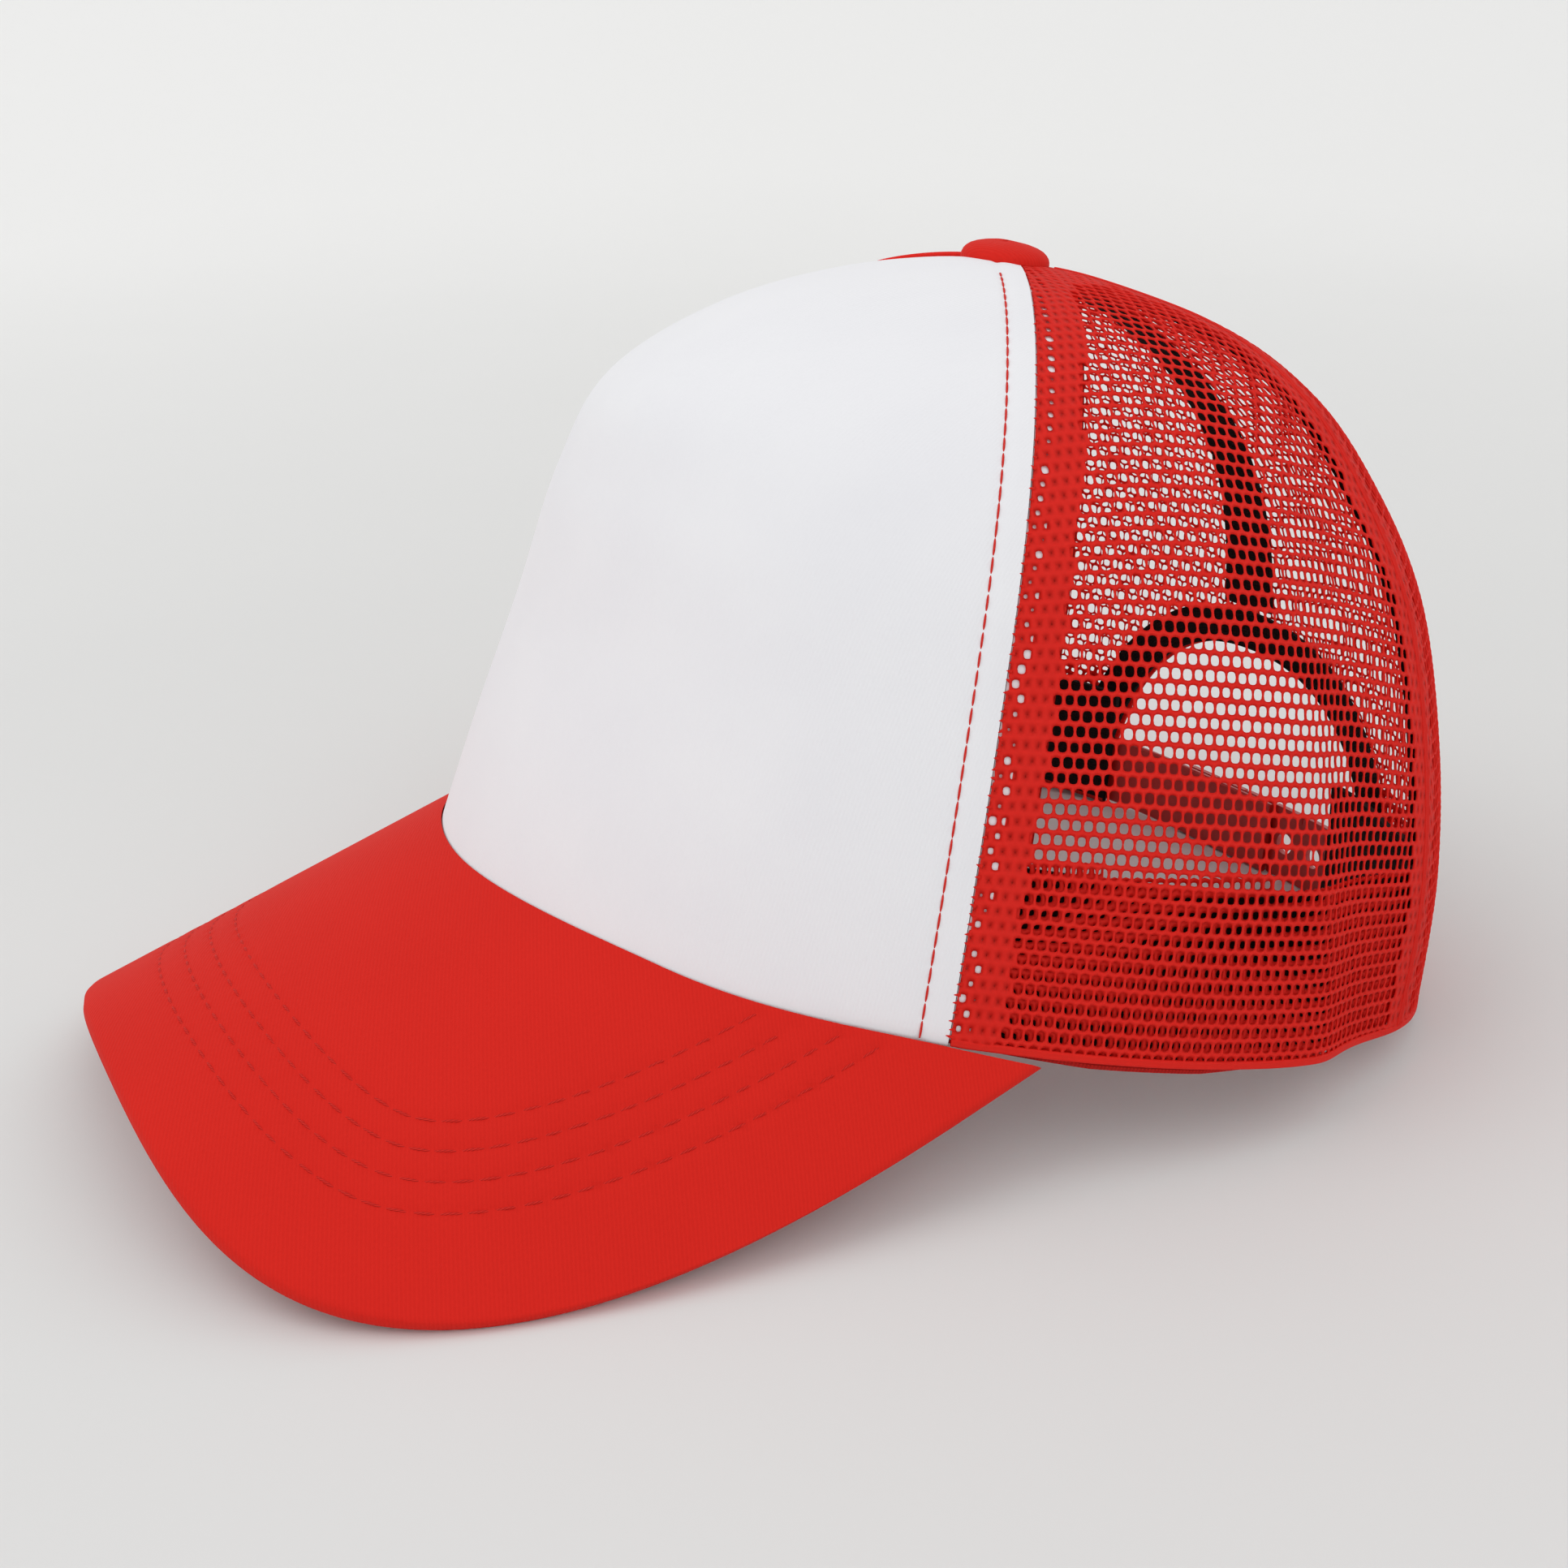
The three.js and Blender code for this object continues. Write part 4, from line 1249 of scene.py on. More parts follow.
def band_on_crown(sketch: Sketch, angles: Array, feet: Array, tops: Array, outer: Array | float,
                  thickness: float, rows: int = 4) -> None:
    """Add a thick strip that follows the crown between two heights.

    Args:
        sketch: The mesh in the making.
        angles: The strip's angles.
        feet: The lower edge's height at each angle.
        tops: The upper edge's height at each angle.
        outer: The depth of the outer face, one value or one per angle.
        thickness: The strip's thickness.
        rows: How many rows of quads it has.
    """
    share = np.linspace(0.0, 1.0, rows + 1)[:, None]
    heights = feet[None, :] * (1 - share) + tops[None, :] * share
    position = CROWN.position_at(np.maximum(heights, 0.0))
    grid_angle = np.broadcast_to(angles[None, :], position.shape)
    depth = np.broadcast_to(np.asarray(outer, float), position.shape)
    faces = []
    for extra in (0.0, thickness):
        rounding = 0.25 * thickness * (1.0 if extra == 0.0 else -1.0)
        edge = np.zeros(rows + 1)
        edge[[0, -1]] = rounding
        points = CROWN.inside(grid_angle, position, depth + extra + edge[:, None])
        points[..., 2] += np.minimum(heights, 0.0)
        faces.append(points)
    run = run_lengths(faces[0][0])
    flat = np.stack(np.broadcast_arrays(run[None, :], heights), -1)
    sketch.shell(POSE.place(faces[0]), POSE.place(faces[1]), flat)


def stitches(sketch: Sketch, path: Array, lift: Array, stitch: float, radius: float, gap: float) -> None:
    """Sew a row of stitches along a path.

    Args:
        sketch: The mesh in the making.
        path: Points of the row, in the resting frame.
        lift: The direction away from the cloth at each point.
        stitch: The length of one stitch.
        radius: The thread's radius.
        gap: The length between stitches, where the thread is down in the cloth.
    """
    lengths = run_lengths(path)
    count = int(lengths[-1] / stitch)
    share = np.linspace(0.0, 1.0, 7)
    arch = np.sin(share * math.pi)
    rise = (arch * 1.2 - 0.55) * radius
    thickness = radius * (0.7 + 0.3 * np.sqrt(arch))
    for index in range(count):
        start = index * stitch + gap / 2
        along = start + (stitch - gap) * share
        points = np.stack([np.interp(along, lengths, path[:, axis]) for axis in range(3)], -1)
        away = np.stack([np.interp(along, lengths, lift[:, axis]) for axis in range(3)], -1)
        away = unit(away)
        sketch.tube(points + away * rise[:, None], thickness, 6, 0.8, away)


def crown_lift(angle: Array, position: Array) -> Array:
    """Give the direction out of the crown's cloth.

    Args:
        angle: Angles round the crown.
        position: Positions up the crown.

    Returns:
        Directions in the resting frame.
    """
    near = POSE.place(CROWN.inside(angle, position, np.zeros_like(angle)))
    out = POSE.place(CROWN.inside(angle, position, np.full_like(angle, -1.0)))
    return unit(out - near)


def seam_strip(sketch: Sketch, angle: float, position: Array, out: Array, layers: Sequence[Array | float],
               section_mm: float | None = 20.0) -> None:
    """Add a thick strip that runs up the crown along a seam.

    Args:
        sketch: The mesh in the making.
        angle: The seam's angle.
        position: Positions up the crown, one per row.
        out: Distances sideways from the seam, one per column.
        layers: The depths of the outer and of the inner face.
        section_mm: How long one section of the crown is on the flat pattern, or None for no pattern.
    """
    position, out = np.broadcast_arrays(position, out)
    angles = np.full(position.shape, angle)
    order = slice(None) if out[0, 0] < out[0, -1] else slice(None, None, -1)
    outer, inner = [POSE.place(CROWN.shifted(angles, position, depth, out)[:, order]) for depth in layers]
    flat = None if section_mm is None else np.stack([out, position * section_mm], -1)[:, order]
    sketch.shell(outer, inner, flat)


@dataclass
class FrontPanel:
    """The white foam front with its seam allowance under the mesh, its topstitching and its soft edges."""

    finishes: Finishes
    thickness: float = 3.0
    columns: int = 150
    rows: int = 96
    topstitch_in: float = 4.7
    groove: float = 0.22
    groove_width: float = 0.7
    edge_dip: float = 0.08
    lower_dip: float = 0.5
    dip_width: float = 0.9
    puff: float = 0.08
    puff_in: float = 2.4
    puff_width: float = 1.3
    crowding: float = 0.06
    tongue: float = 3.2
    tongue_depths: tuple[float, float] = (0.55, 1.2)

    def relief(self, angle: Array, position: Array) -> Array:
        """Give how deep the cloth is drawn in by its stitching and seams.

        Args:
            angle: Angles round the crown.
            position: Positions up the crown.

        Returns:
            Depths in millimetres.
        """
        radius = np.maximum(CROWN.radius(angle, position), 1.0)
        from_seam = (CROWN.front_seam - np.abs(angle)) * radius
        above = CROWN.height_at(position) - CROWN_FOOT(angle)
        line = self.groove * np.exp(-((from_seam - self.topstitch_in) / self.groove_width) ** 2)
        seam = self.edge_dip * np.exp(-np.maximum(from_seam, 0.0) / self.dip_width)
        lower = self.lower_dip * np.exp(-above / self.dip_width)
        puff = self.puff * np.exp(-((from_seam - self.puff_in) / self.puff_width) ** 2)
        return line + seam + lower - puff

    def panel(self) -> Piece:
        """Shape the panel and its hidden allowance.

        Returns:
            The panel's object.
        """
        half = np.linspace(-1.0, 1.0, self.columns + 1)
        eased = half + self.crowding * np.sin(half * math.pi)
        angles = CROWN.front_seam * np.clip(eased, -1.0, 1.0)
        share = np.linspace(0.0, 1.0, self.rows + 1) ** 1.05
        foot = CROWN.position_at(CROWN_FOOT(angles))
        position = foot[None, :] + (CROWN.top_position - foot[None, :]) * share[:, None]
        grid_angle = np.broadcast_to(angles[None, :], position.shape)
        radius = np.maximum(CROWN.radius(grid_angle, position), 1.0)
        limit = CROWN.front_seam - 0.15 / radius
        grid_angle = np.clip(grid_angle, -limit, limit)
        depth = self.relief(grid_angle, position)
        outer = POSE.place(CROWN.inside(grid_angle, position, depth))
        inner = POSE.place(CROWN.inside(grid_angle, position, np.full_like(depth, self.thickness)))
        sketch = Sketch()
        sketch.shell(outer, inner, crown_flat(grid_angle, position))
        for side in Side:
            self.allowance(sketch, side)
        return sketch.build("front_panel_cloth", "front_panel", Slot.FOAM, self.finishes.foam, sharp=60.0)

    def allowance(self, sketch: Sketch, side: Side) -> None:
        """Add the pressed edge of the foam that shows through the first holes of the mesh.

        Args:
            sketch: The mesh in the making.
            side: The wearer's side.
        """
        position = np.linspace(seam_foot(1.0), CROWN.top_position - 0.25, 61)[:, None]
        out = np.linspace(0.05, self.tongue, 4)[None, :] * side.value
        seam_strip(sketch, side.value * CROWN.front_seam, position, out, self.tongue_depths, None)

    def topstitching(self) -> Piece:
        """Sew the red row beside each seam.

        Returns:
            The stitches' object.
        """
        sketch = Sketch()
        for side in Side:
            position = np.linspace(seam_foot(0.6), CROWN.top_position - 0.55, 300)
            seam = np.full_like(position, side.value * CROWN.front_seam)
            radius = np.maximum(CROWN.radius(seam, position), 1.0)
            angle = side.value * (CROWN.front_seam - self.topstitch_in / radius)
            depth = np.full_like(angle, self.groove * 0.8)
            path = POSE.place(CROWN.inside(angle, position, depth))
            stitches(sketch, path, crown_lift(angle, position), 2.9, 0.19, 0.12)
        return sketch.build("front_topstitching", None, Slot.TWILL, self.finishes.thread)


@dataclass
class FrontSeamFold:
    """The mesh's doubled edge behind the front seam, over its red tape."""

    side: Side
    finishes: Finishes
    start: float = 3.0
    end: float = 7.8
    foot_height: float = 31.4
    tape_depths: tuple[float, float] = (1.7, 2.35)
    fold_depths: tuple[float, float] = (0.5, 0.95)
    rib_pitch: float = 0.9

    def tape(self) -> Piece:
        """Lay the tape behind the folded mesh.

        Returns:
            The tape's object.
        """
        position = np.linspace(CROWN.row_at(self.foot_height), CROWN.top_position - 0.5, 71)[:, None]
        out = np.linspace(0.3, self.end, 7)[None, :] * self.side.value
        bulge = 0.08 * np.cos(np.linspace(-1.5, 1.5, 7))[None, :]
        layers = [depth - bulge for depth in self.tape_depths]
        sketch = Sketch()
        seam_strip(sketch, self.side.value * CROWN.front_seam, position, out, layers)
        word = self.side.name.lower()
        return sketch.build(f"front_seam_tape_{word}", f"tape_front_{word}", Slot.BAND, self.finishes.band)

    def fold(self) -> Piece:
        """Knit the folded strip under the panel's edge.

        Returns:
            The strip's object.
        """
        position = np.linspace(seam_foot(1.0), CROWN.top_position - 0.3, 111)[:, None]
        out = np.linspace(self.start, self.end - 0.4, 15)[None, :] * self.side.value
        ribs = 0.06 * np.cos(out * FULL_TURN / self.rib_pitch + position * 26.0)
        layers = [depth + ribs for depth in self.fold_depths]
        sketch = Sketch()
        seam_strip(sketch, self.side.value * CROWN.front_seam, position, out, layers)
        return sketch.build(f"front_seam_fold_{self.side.name.lower()}", None, Slot.MESH, self.finishes.mesh)


@dataclass
class Edges:
    """The mesh's finished edges: the rim's hem, the turned seams and the arch's fold."""

    finishes: Finishes
    hem: float = 1.35
    binding_width: float = 8.0
    binding_depths: tuple[float, float] = (1.65, 2.4)
    binding_bulge: float = 0.12
    stand_start: float = 5.6
    stand_rise: float = 0.9

    def rim_hem(self, side: Side) -> Piece:
        """Fold the hem along the rim from the front seam to the back opening.

        Args:
            side: The wearer's side.

        Returns:
            The hem's object.
        """
        foot_angle = float(CROWN.angle_across(np.array([OPENING.half_width]), np.array([0.0]), 0.0)[0])
        angles = np.linspace(CROWN.front_seam + 0.003, foot_angle, 150) * side.value
        if side is Side.RIGHT:
            angles = angles[::-1]
        feet = CROWN_FOOT(angles)
        sketch = Sketch()
        band_on_crown(sketch, angles, feet, feet + self.hem, -0.05, 1.0, 5)
        return sketch.build(f"rim_hem_{side.name.lower()}", None, Slot.MESH, self.finishes.mesh)

    def seam_roll(self, name: str, angle: float, low_height: float, width: float = 1.7) -> Piece:
        """Raise the small roll of cloth where two mesh panels are joined.

        Args:
            name: The piece's name.
            angle: The seam's angle.
            low_height: The height that it starts at.
            width: How wide the roll is.

        Returns:
            The roll's object.
        """
        position = np.linspace(CROWN.row_at(low_height), CROWN.top_position - 0.15, 150)
        angles = np.full_like(position, angle)
        depth = np.full_like(position, 0.25)
        sketch = Sketch()
        for shift in (-width / 4, width / 4):
            path = POSE.place(CROWN.shifted(angles, position, depth, np.full_like(position, shift)))
            sketch.tube(path, width / 4 + 0.08, 8, 0.9, crown_lift(angles, position))
        return sketch.build(name, None, Slot.MESH, self.finishes.mesh)

    def standing_seam(self) -> Piece:
        """Let the right front seam stand up a little beside the button.

        Returns:
            The seam's object.
        """
        position = np.linspace(self.stand_start, CROWN.top_position - 0.2, 60)
        angles = np.full_like(position, -CROWN.front_seam - 0.006)
        past = position - self.stand_start
        rise = -0.1 - self.stand_rise * smooth(past / 0.5) + 0.5 * smooth((past - 0.6) / 0.7)
        sketch = Sketch()
        path = POSE.place(CROWN.inside(angles, position, rise))
        sketch.tube(path, 0.5, 8, 1.0, crown_lift(angles, position))
        return sketch.build("standing_seam_right", None, Slot.MESH, self.finishes.mesh)

    def arch_path(self, turns: Array, out: float, depth: float) -> tuple[Array, Array, Array]:
        """Follow the back opening's edge at a distance out from it.

        Args:
            turns: Where along the arch, from 0 at one foot to half a turn at the other.
            out: The distance away from the opening.
            depth: How deep inside the crown's surface.

        Returns:
            Points in the resting frame, the angles and the positions.
        """
        across, height = OPENING.edge(turns)
        step = 0.004
        ahead = OPENING.edge(np.clip(turns + step, 0.0, math.pi))
        behind = OPENING.edge(np.clip(turns - step, 0.0, math.pi))
        slope = unit(np.stack([behind[1] - ahead[1], ahead[0] - behind[0]], -1))
        across = across - slope[:, 0] * out
        height = np.maximum(height - slope[:, 1] * out, 0.4)
        position = CROWN.position_at(height)
        angle = CROWN.angle_across(across, position, depth)
        return POSE.place(CROWN.inside(angle, position, np.full_like(angle, depth))), angle, position

    def arch_tape(self) -> Piece:
        """Bind the back opening's edge on the inside.

        Returns:
            The binding's object.
        """
        turns = np.linspace(0.02, math.pi - 0.02, 150)
        widths = np.linspace(0.0, self.binding_width, 7)
        bulges = self.binding_bulge * np.sin(math.pi * widths / self.binding_width)
        grids = []
        for depth, sign in zip(self.binding_depths, (-1.0, 1.0)):
            lines = [self.arch_path(turns, float(width), depth + sign * float(bulge))[0]
                     for width, bulge in zip(widths, bulges)]
            grids.append(np.stack(lines))
        run = run_lengths(grids[0][0])
        flat = np.stack(np.broadcast_arrays(run[None, :], widths[:, None]), -1)
        sketch = Sketch()
        sketch.shell(grids[0], grids[1], flat)
        return sketch.build("opening_binding_tape", "opening_binding", Slot.TAPE, self.finishes.dark)

    def arch_fold(self) -> Piece:
        """Turn the mesh's own edge round the opening.

        Returns:
            The fold's object.
        """
        turns = np.linspace(0.03, math.pi - 0.03, 170)
        sketch = Sketch()
        path, angle, position = self.arch_path(turns, 0.35, 0.5)
        sketch.tube(path, 0.75, 8, 0.8, crown_lift(angle, position))
        return sketch.build("opening_fold", None, Slot.MESH, self.finishes.mesh)

    def arch_stitches(self) -> Piece:
        """Sew the binding on through the mesh.

        Returns:
            The stitches' object.
        """
        turns = np.linspace(0.03, math.pi - 0.03, 300)
        sketch = Sketch()
        path, angle, position = self.arch_path(turns, 6.2, -0.1)
        stitches(sketch, path, crown_lift(angle, position), 2.8, 0.22, 0.3)
        return sketch.build("opening_stitches", None, Slot.MESH, self.finishes.thread)


@dataclass
class SeamTape:
    """A dark tape over a seam on the inside, which may taper towards the top."""

    name: str
    node: str
    angle: float
    foot_height: float
    width: float
    finishes: Finishes
    top_share: float = 1.0
    end_radius: float = 15.0
    depths: tuple[float, float] = (1.65, 2.35)
    rows: int = 90

    def build(self) -> Piece:
        """Lay the tape.

        Returns:
            The tape's object.
        """
        steps = np.linspace(0.0, CROWN.top_position, 700)
        radii = CROWN.radius(np.full_like(steps, self.angle), steps)
        top = float(steps[np.argmax((radii < self.end_radius) & (steps > CROWN.top_position - 4.0))])
        position = np.linspace(CROWN.row_at(self.foot_height), top, self.rows)[:, None]
        taper = np.linspace(1.0, self.top_share, self.rows)[:, None]
        out = np.linspace(-self.width / 2, self.width / 2, 9)[None, :] * taper
        bulge = 0.1 * np.cos(np.linspace(-1.57, 1.57, 9))[None, :]
        layers = [self.depths[0] - bulge, self.depths[1] + bulge]
        sketch = Sketch()
        seam_strip(sketch, self.angle, position, out, layers, 22.0)
        return sketch.build(self.name, self.node, Slot.TAPE, self.finishes.dark)


@dataclass
class Sweatband:
    """The folded band inside the rim, with stitches along its upper and lower edge."""

    finishes: Finishes
    height: float = 29.0
    thickness: float = 1.2
    peek: float = 1.3
    end: float = math.radians(157.0)
    rows: int = 10
    columns: int = 420
    ripple: float = 0.18
    edging_radius: float = 0.85
    sewing_heights: tuple[float, float] = (3.0, 26.8)
    course_degrees: tuple[float, ...] = (0, 50, 62, 76, 88, 100, 125, 139, 180)
    course_inset: tuple[float, ...] = (3.6, 3.6, 3.6, 2.2, 2.2, 2.2, 2.2, 6.6, 6.6)
    course_drop: tuple[float, ...] = (-0.6, -0.6, 0.2, 1.0, 1.0, -0.4, -1.2, -1.2, -1.2)

    def course(self, angles: Array) -> tuple[Array, Array]:
        """Give how the band runs round the rim.

        Args:
            angles: Angles round the crown.

        Returns:
            How deep it lies inside the crown, and how far its foot hangs down.
        """
        degrees = np.abs(np.degrees(angles))
        inset = np.interp(degrees, self.course_degrees, self.course_inset)
        return inset, self.peek * np.interp(degrees, self.course_degrees, self.course_drop)

    def build(self) -> Piece:
        """Fold the band in place.

        Returns:
            The band's object.
        """
        angles = np.linspace(-self.end, self.end, self.columns)
        inset, drop = self.course(angles)
        feet = CROWN_FOOT(angles)
        sketch = Sketch()
        share = np.linspace(0.0, 1.0, self.rows + 1)[:, None]
        heights = feet[None, :] + self.height * share
        position = CROWN.position_at(heights)
        grid_angle = np.broadcast_to(angles[None, :], position.shape)
        ripple = self.ripple * np.sin(angles * 37.0)[None, :] * share * (1 - share) * 4
        layers = []
        for extra in (0.0, self.thickness):
            points = CROWN.inside(grid_angle, position, inset[None, :] + extra + ripple)
            points[0, :, 2] -= drop
            layers.append(points)
        run = run_lengths(layers[0][0])
        flat = np.stack(np.broadcast_arrays(run[None, :], heights), -1)
        sketch.shell(POSE.place(layers[0]), POSE.place(layers[1]), flat)
        return sketch.build("sweatband_cloth", "sweatband", Slot.TAPE, self.finishes.dark)

    def edging(self) -> Piece:
        """Roll the red edging along the band's foot, where it shows under the mesh.

        Returns:
            The edging's object.
        """
        angles = np.linspace(-self.end, self.end, self.columns)
        inset, drop = self.course(angles)
        points = CROWN.inside(angles, CROWN.position_at(CROWN_FOOT(angles)), inset + self.thickness / 2)
        points[:, 2] -= drop - 0.35
        sketch = Sketch()
        lift = crown_lift(angles, np.zeros_like(angles))
        sketch.tube(POSE.place(points), self.edging_radius, 8, 1.0, lift)
        return sketch.build("sweatband_edging", None, Slot.BAND, self.finishes.band)

    def sewing(self) -> Piece:
        """Sew the band's two rows on its inner face.

        Returns:
            The stitches' object.
        """
        angles = np.linspace(-self.end + 0.02, self.end - 0.02, 700)
        inset = self.course(angles)[0] + self.thickness + 0.05
        sketch = Sketch()
        for height in self.sewing_heights:
            position = CROWN.position_at(CROWN_FOOT(angles) + height)
            path = POSE.place(CROWN.inside(angles, position, inset))
            stitches(sketch, path, -crown_lift(angles, position), 3.2, 0.22, 0.4)
        return sketch.build("sweatband_stitches", None, Slot.TAPE, self.finishes.dark)


@dataclass
class BillCover:
    """The twill-covered bill: board inside, puckered rows of stitches and a seam round its edge."""

    finishes: Finishes
    columns: int = 230
    rows: int = 92
    first_row: float = 13.6
    first_row_side: float = 16.3
    row_pitch: float = 4.85
    row_count: int = 4
    stitch: float = 4.0
    groove: float = 0.42
    groove_width: float = 1.05
    groove_below: float = 0.7
    edge_width: float = 1.9
    edge_flat: float = 0.25
    side_stretch: float = 1.2

    def outline_points(self) -> Array:
        """Give the outer edge on the flat pattern.

        Returns:
            Pairs of distances across and along.
        """
        turn = np.linspace(-math.pi / 2, math.pi / 2, 801)
        arc = BILL.half_arc * np.sin(turn)
        edge = np.stack([arc, BILL.outline(arc)], -1)
        left = np.array([[-BILL.half_arc, BILL.corner_reach]])
        right = np.array([[BILL.half_arc, BILL.corner_reach]])
        return np.concatenate([left, edge, right])

    def row_path(self, index: int) -> Array:
        """Give one row of stitching on the flat pattern, inward from the edge.

        Args:
            index: The row's number, from the outermost.

        Returns:
            Pairs of distances across and along.
        """
        edge = self.outline_points()
        lengths = run_lengths(edge)
        along = np.linspace(0.0, lengths[-1], 1200)
        even = np.stack([np.interp(along, lengths, edge[:, axis]) for axis in (0, 1)], -1)
        tangent = np.gradient(even, axis=0)
        tangent /= np.linalg.norm(tangent, axis=1, keepdims=True)
        inward = np.stack([tangent[:, 1], -tangent[:, 0]], -1)
        sideways = smooth(np.abs(even[:, 0]) / 60.0)
        first = self.first_row + (self.first_row_side - self.first_row) * sideways
        path = even + inward * (first + index * self.row_pitch)[:, None]
        root = BILL.root(np.clip(path[::40, 0], -BILL.half_arc, BILL.half_arc), 0.0)
        order = np.argsort(path[::40, 0])
        limit = np.interp(path[:, 0], path[::40, 0][order], root[order]) + 2.0
        return path[(path[:, 1] > limit) & (np.abs(path[:, 0]) < BILL.half_arc - 3.0)]

    def puckers(self, arc: Array, reach: Array) -> Array:
        """Give how deep the stitching draws the cover in.

        Args:
            arc: Distances across the flat pattern.
            reach: Distances along it.

        Returns:
            Depths in millimetres.
        """
        depth = np.zeros_like(arc)
        for index in range(self.row_count):
            path = self.row_path(index)[::6]
            nearest = np.full(arc.shape, 1e9)
            where = np.zeros(arc.shape)
            lengths = run_lengths(path)
            for point, length in zip(path, lengths):
                gap = (arc - point[0]) ** 2 + (reach - point[1]) ** 2
                closer = gap < nearest
                nearest = np.where(closer, gap, nearest)
                where = np.where(closer, length, where)
            beat = 0.75 + 0.25 * np.cos(where * FULL_TURN / self.stitch)
            depth += self.groove * beat * np.exp(-nearest / self.groove_width ** 2)
        return depth

    def cover(self) -> Piece:
        """Stretch the cover over the board.

        Returns:
            The bill's object.
        """
        turn = np.linspace(-1.0, 1.0, self.columns + 1)
        arc = BILL.half_arc * np.sin(turn * math.pi / 2)
        share = np.linspace(0.0, 1.0, self.rows + 1)[:, None]
        sketch = Sketch()
        grids = []
        flats = []
        for depth, sign, drawn in ((0.0, 1.0, 1.0), (BILL.thickness, -1.0, self.groove_below)):
            root = BILL.root(arc, depth) + PIECE_GAP / math.cos(BILL.pitch)
            tip = np.maximum(BILL.outline(arc), root + 1.0)
            reach = root[None, :] + (tip - root)[None, :] * share
            wide = np.broadcast_to(arc[None, :], reach.shape)
            to_side = (BILL.half_arc - np.abs(wide)) * self.side_stretch
            near = np.minimum(BILL.outline(wide) - reach, to_side)
            bare = 1.0 - np.clip(near / self.edge_width, 0, 1)
            rounding = (BILL.thickness / 2 - self.edge_flat) * (1.0 - np.sqrt(np.clip(1.0 - bare ** 2, 0, 1)))
            relief = self.puckers(wide, reach) * drawn
            grids.append(POSE.place(BILL.point(wide, reach, depth + sign * (relief + rounding))[::-1]))
            flats.append(np.stack([wide, reach], -1)[::-1])
        sketch.shell(grids[0], grids[1], flats[0])
        return sketch.build("bill_cover", "bill", Slot.TWILL, self.finishes.twill, sharp=75.0)

    def sewing(self) -> Piece:
        """Sew the rows through the bill, on both faces.

        Returns:
            The stitches' object.
        """
        sketch = Sketch()
        for index in range(self.row_count):
            flat = self.row_path(index)
            for depth, sign in ((self.groove * 0.85, 1.0), (BILL.thickness - self.groove * 0.6, -1.0)):
                here = np.full(len(flat), depth)
                path = POSE.place(BILL.point(flat[:, 0], flat[:, 1], here))
                out = POSE.place(BILL.point(flat[:, 0], flat[:, 1], here - sign)) - path
                stitches(sketch, path, out, self.stitch, 0.24, 0.5)
        return sketch.build("bill_stitches", None, Slot.TWILL, self.finishes.bill_thread)


@dataclass
class CoveredButton:
    """The twill-covered button on the crown's peak, with its cloth pulled in at the edge.

    The profile's rows hold a share of the radius and a share of the height, from the middle below to the top.
    The pleats' rows hold how strong they are, how many there are and how far they are turned.
    """

    finishes: Finishes
    diameter: float = 16.2
    height: float = 4.3
    forward: float = 2.4
    lean: float = math.radians(5.0)
    side_lean: float = math.radians(6.0)
    seat: float = 117.4
    sides: int = 96
    pleats: tuple[tuple[float, float, float], ...] = ((0.01, 12.0, 0.0), (0.006, 7.0, 1.0))
    ridge: float = 0.03
    profile: tuple[tuple[float, float], ...] = (
        (0.0, 0.229), (0.3, 0.229), (0.55, 0.229), (0.85, 0.04), (0.93, 0.0), (0.975, 0.06), (1.0, 0.2),
        (0.995, 0.34), (0.97, 0.48), (0.92, 0.6), (0.84, 0.72), (0.72, 0.82), (0.56, 0.905), (0.38, 0.96),
        (0.18, 0.99), (0.0, 1.0))

    def build(self) -> Piece:
        """Cover the button.

        Returns:
            The button's object.
        """
        turns = np.linspace(0.0, FULL_TURN, self.sides, endpoint=False)
        pleat = sum(strength * np.cos(turns * count + shift) for strength, count, shift in self.pleats)
        rings = []
        for share, level in self.profile:
            low = math.exp(-((level - 0.15) / 0.2) ** 2)
            ridge = self.ridge * math.exp(-(share / 0.5) ** 2) * np.cos(2.0 * turns)
            reach = self.diameter / 2 * share * (1.0 + pleat * low)
            rise = np.full_like(turns, level * self.height) + ridge * self.height
            rings.append(np.stack([reach * np.cos(turns), reach * np.sin(turns), rise], -1))
        points = np.stack(rings)
        turn = np.array(Matrix.Rotation(self.lean, 3, "X") @ Matrix.Rotation(self.side_lean, 3, "Y"))
        leaned = points @ turn.T + np.array([0.0, -self.forward, self.seat])
        sketch = Sketch()
        sketch.add(POSE.place(leaned), ring_faces(len(self.profile), self.sides), points[..., :2])
        return sketch.build("covered_button", "button", Slot.TWILL, self.finishes.twill)


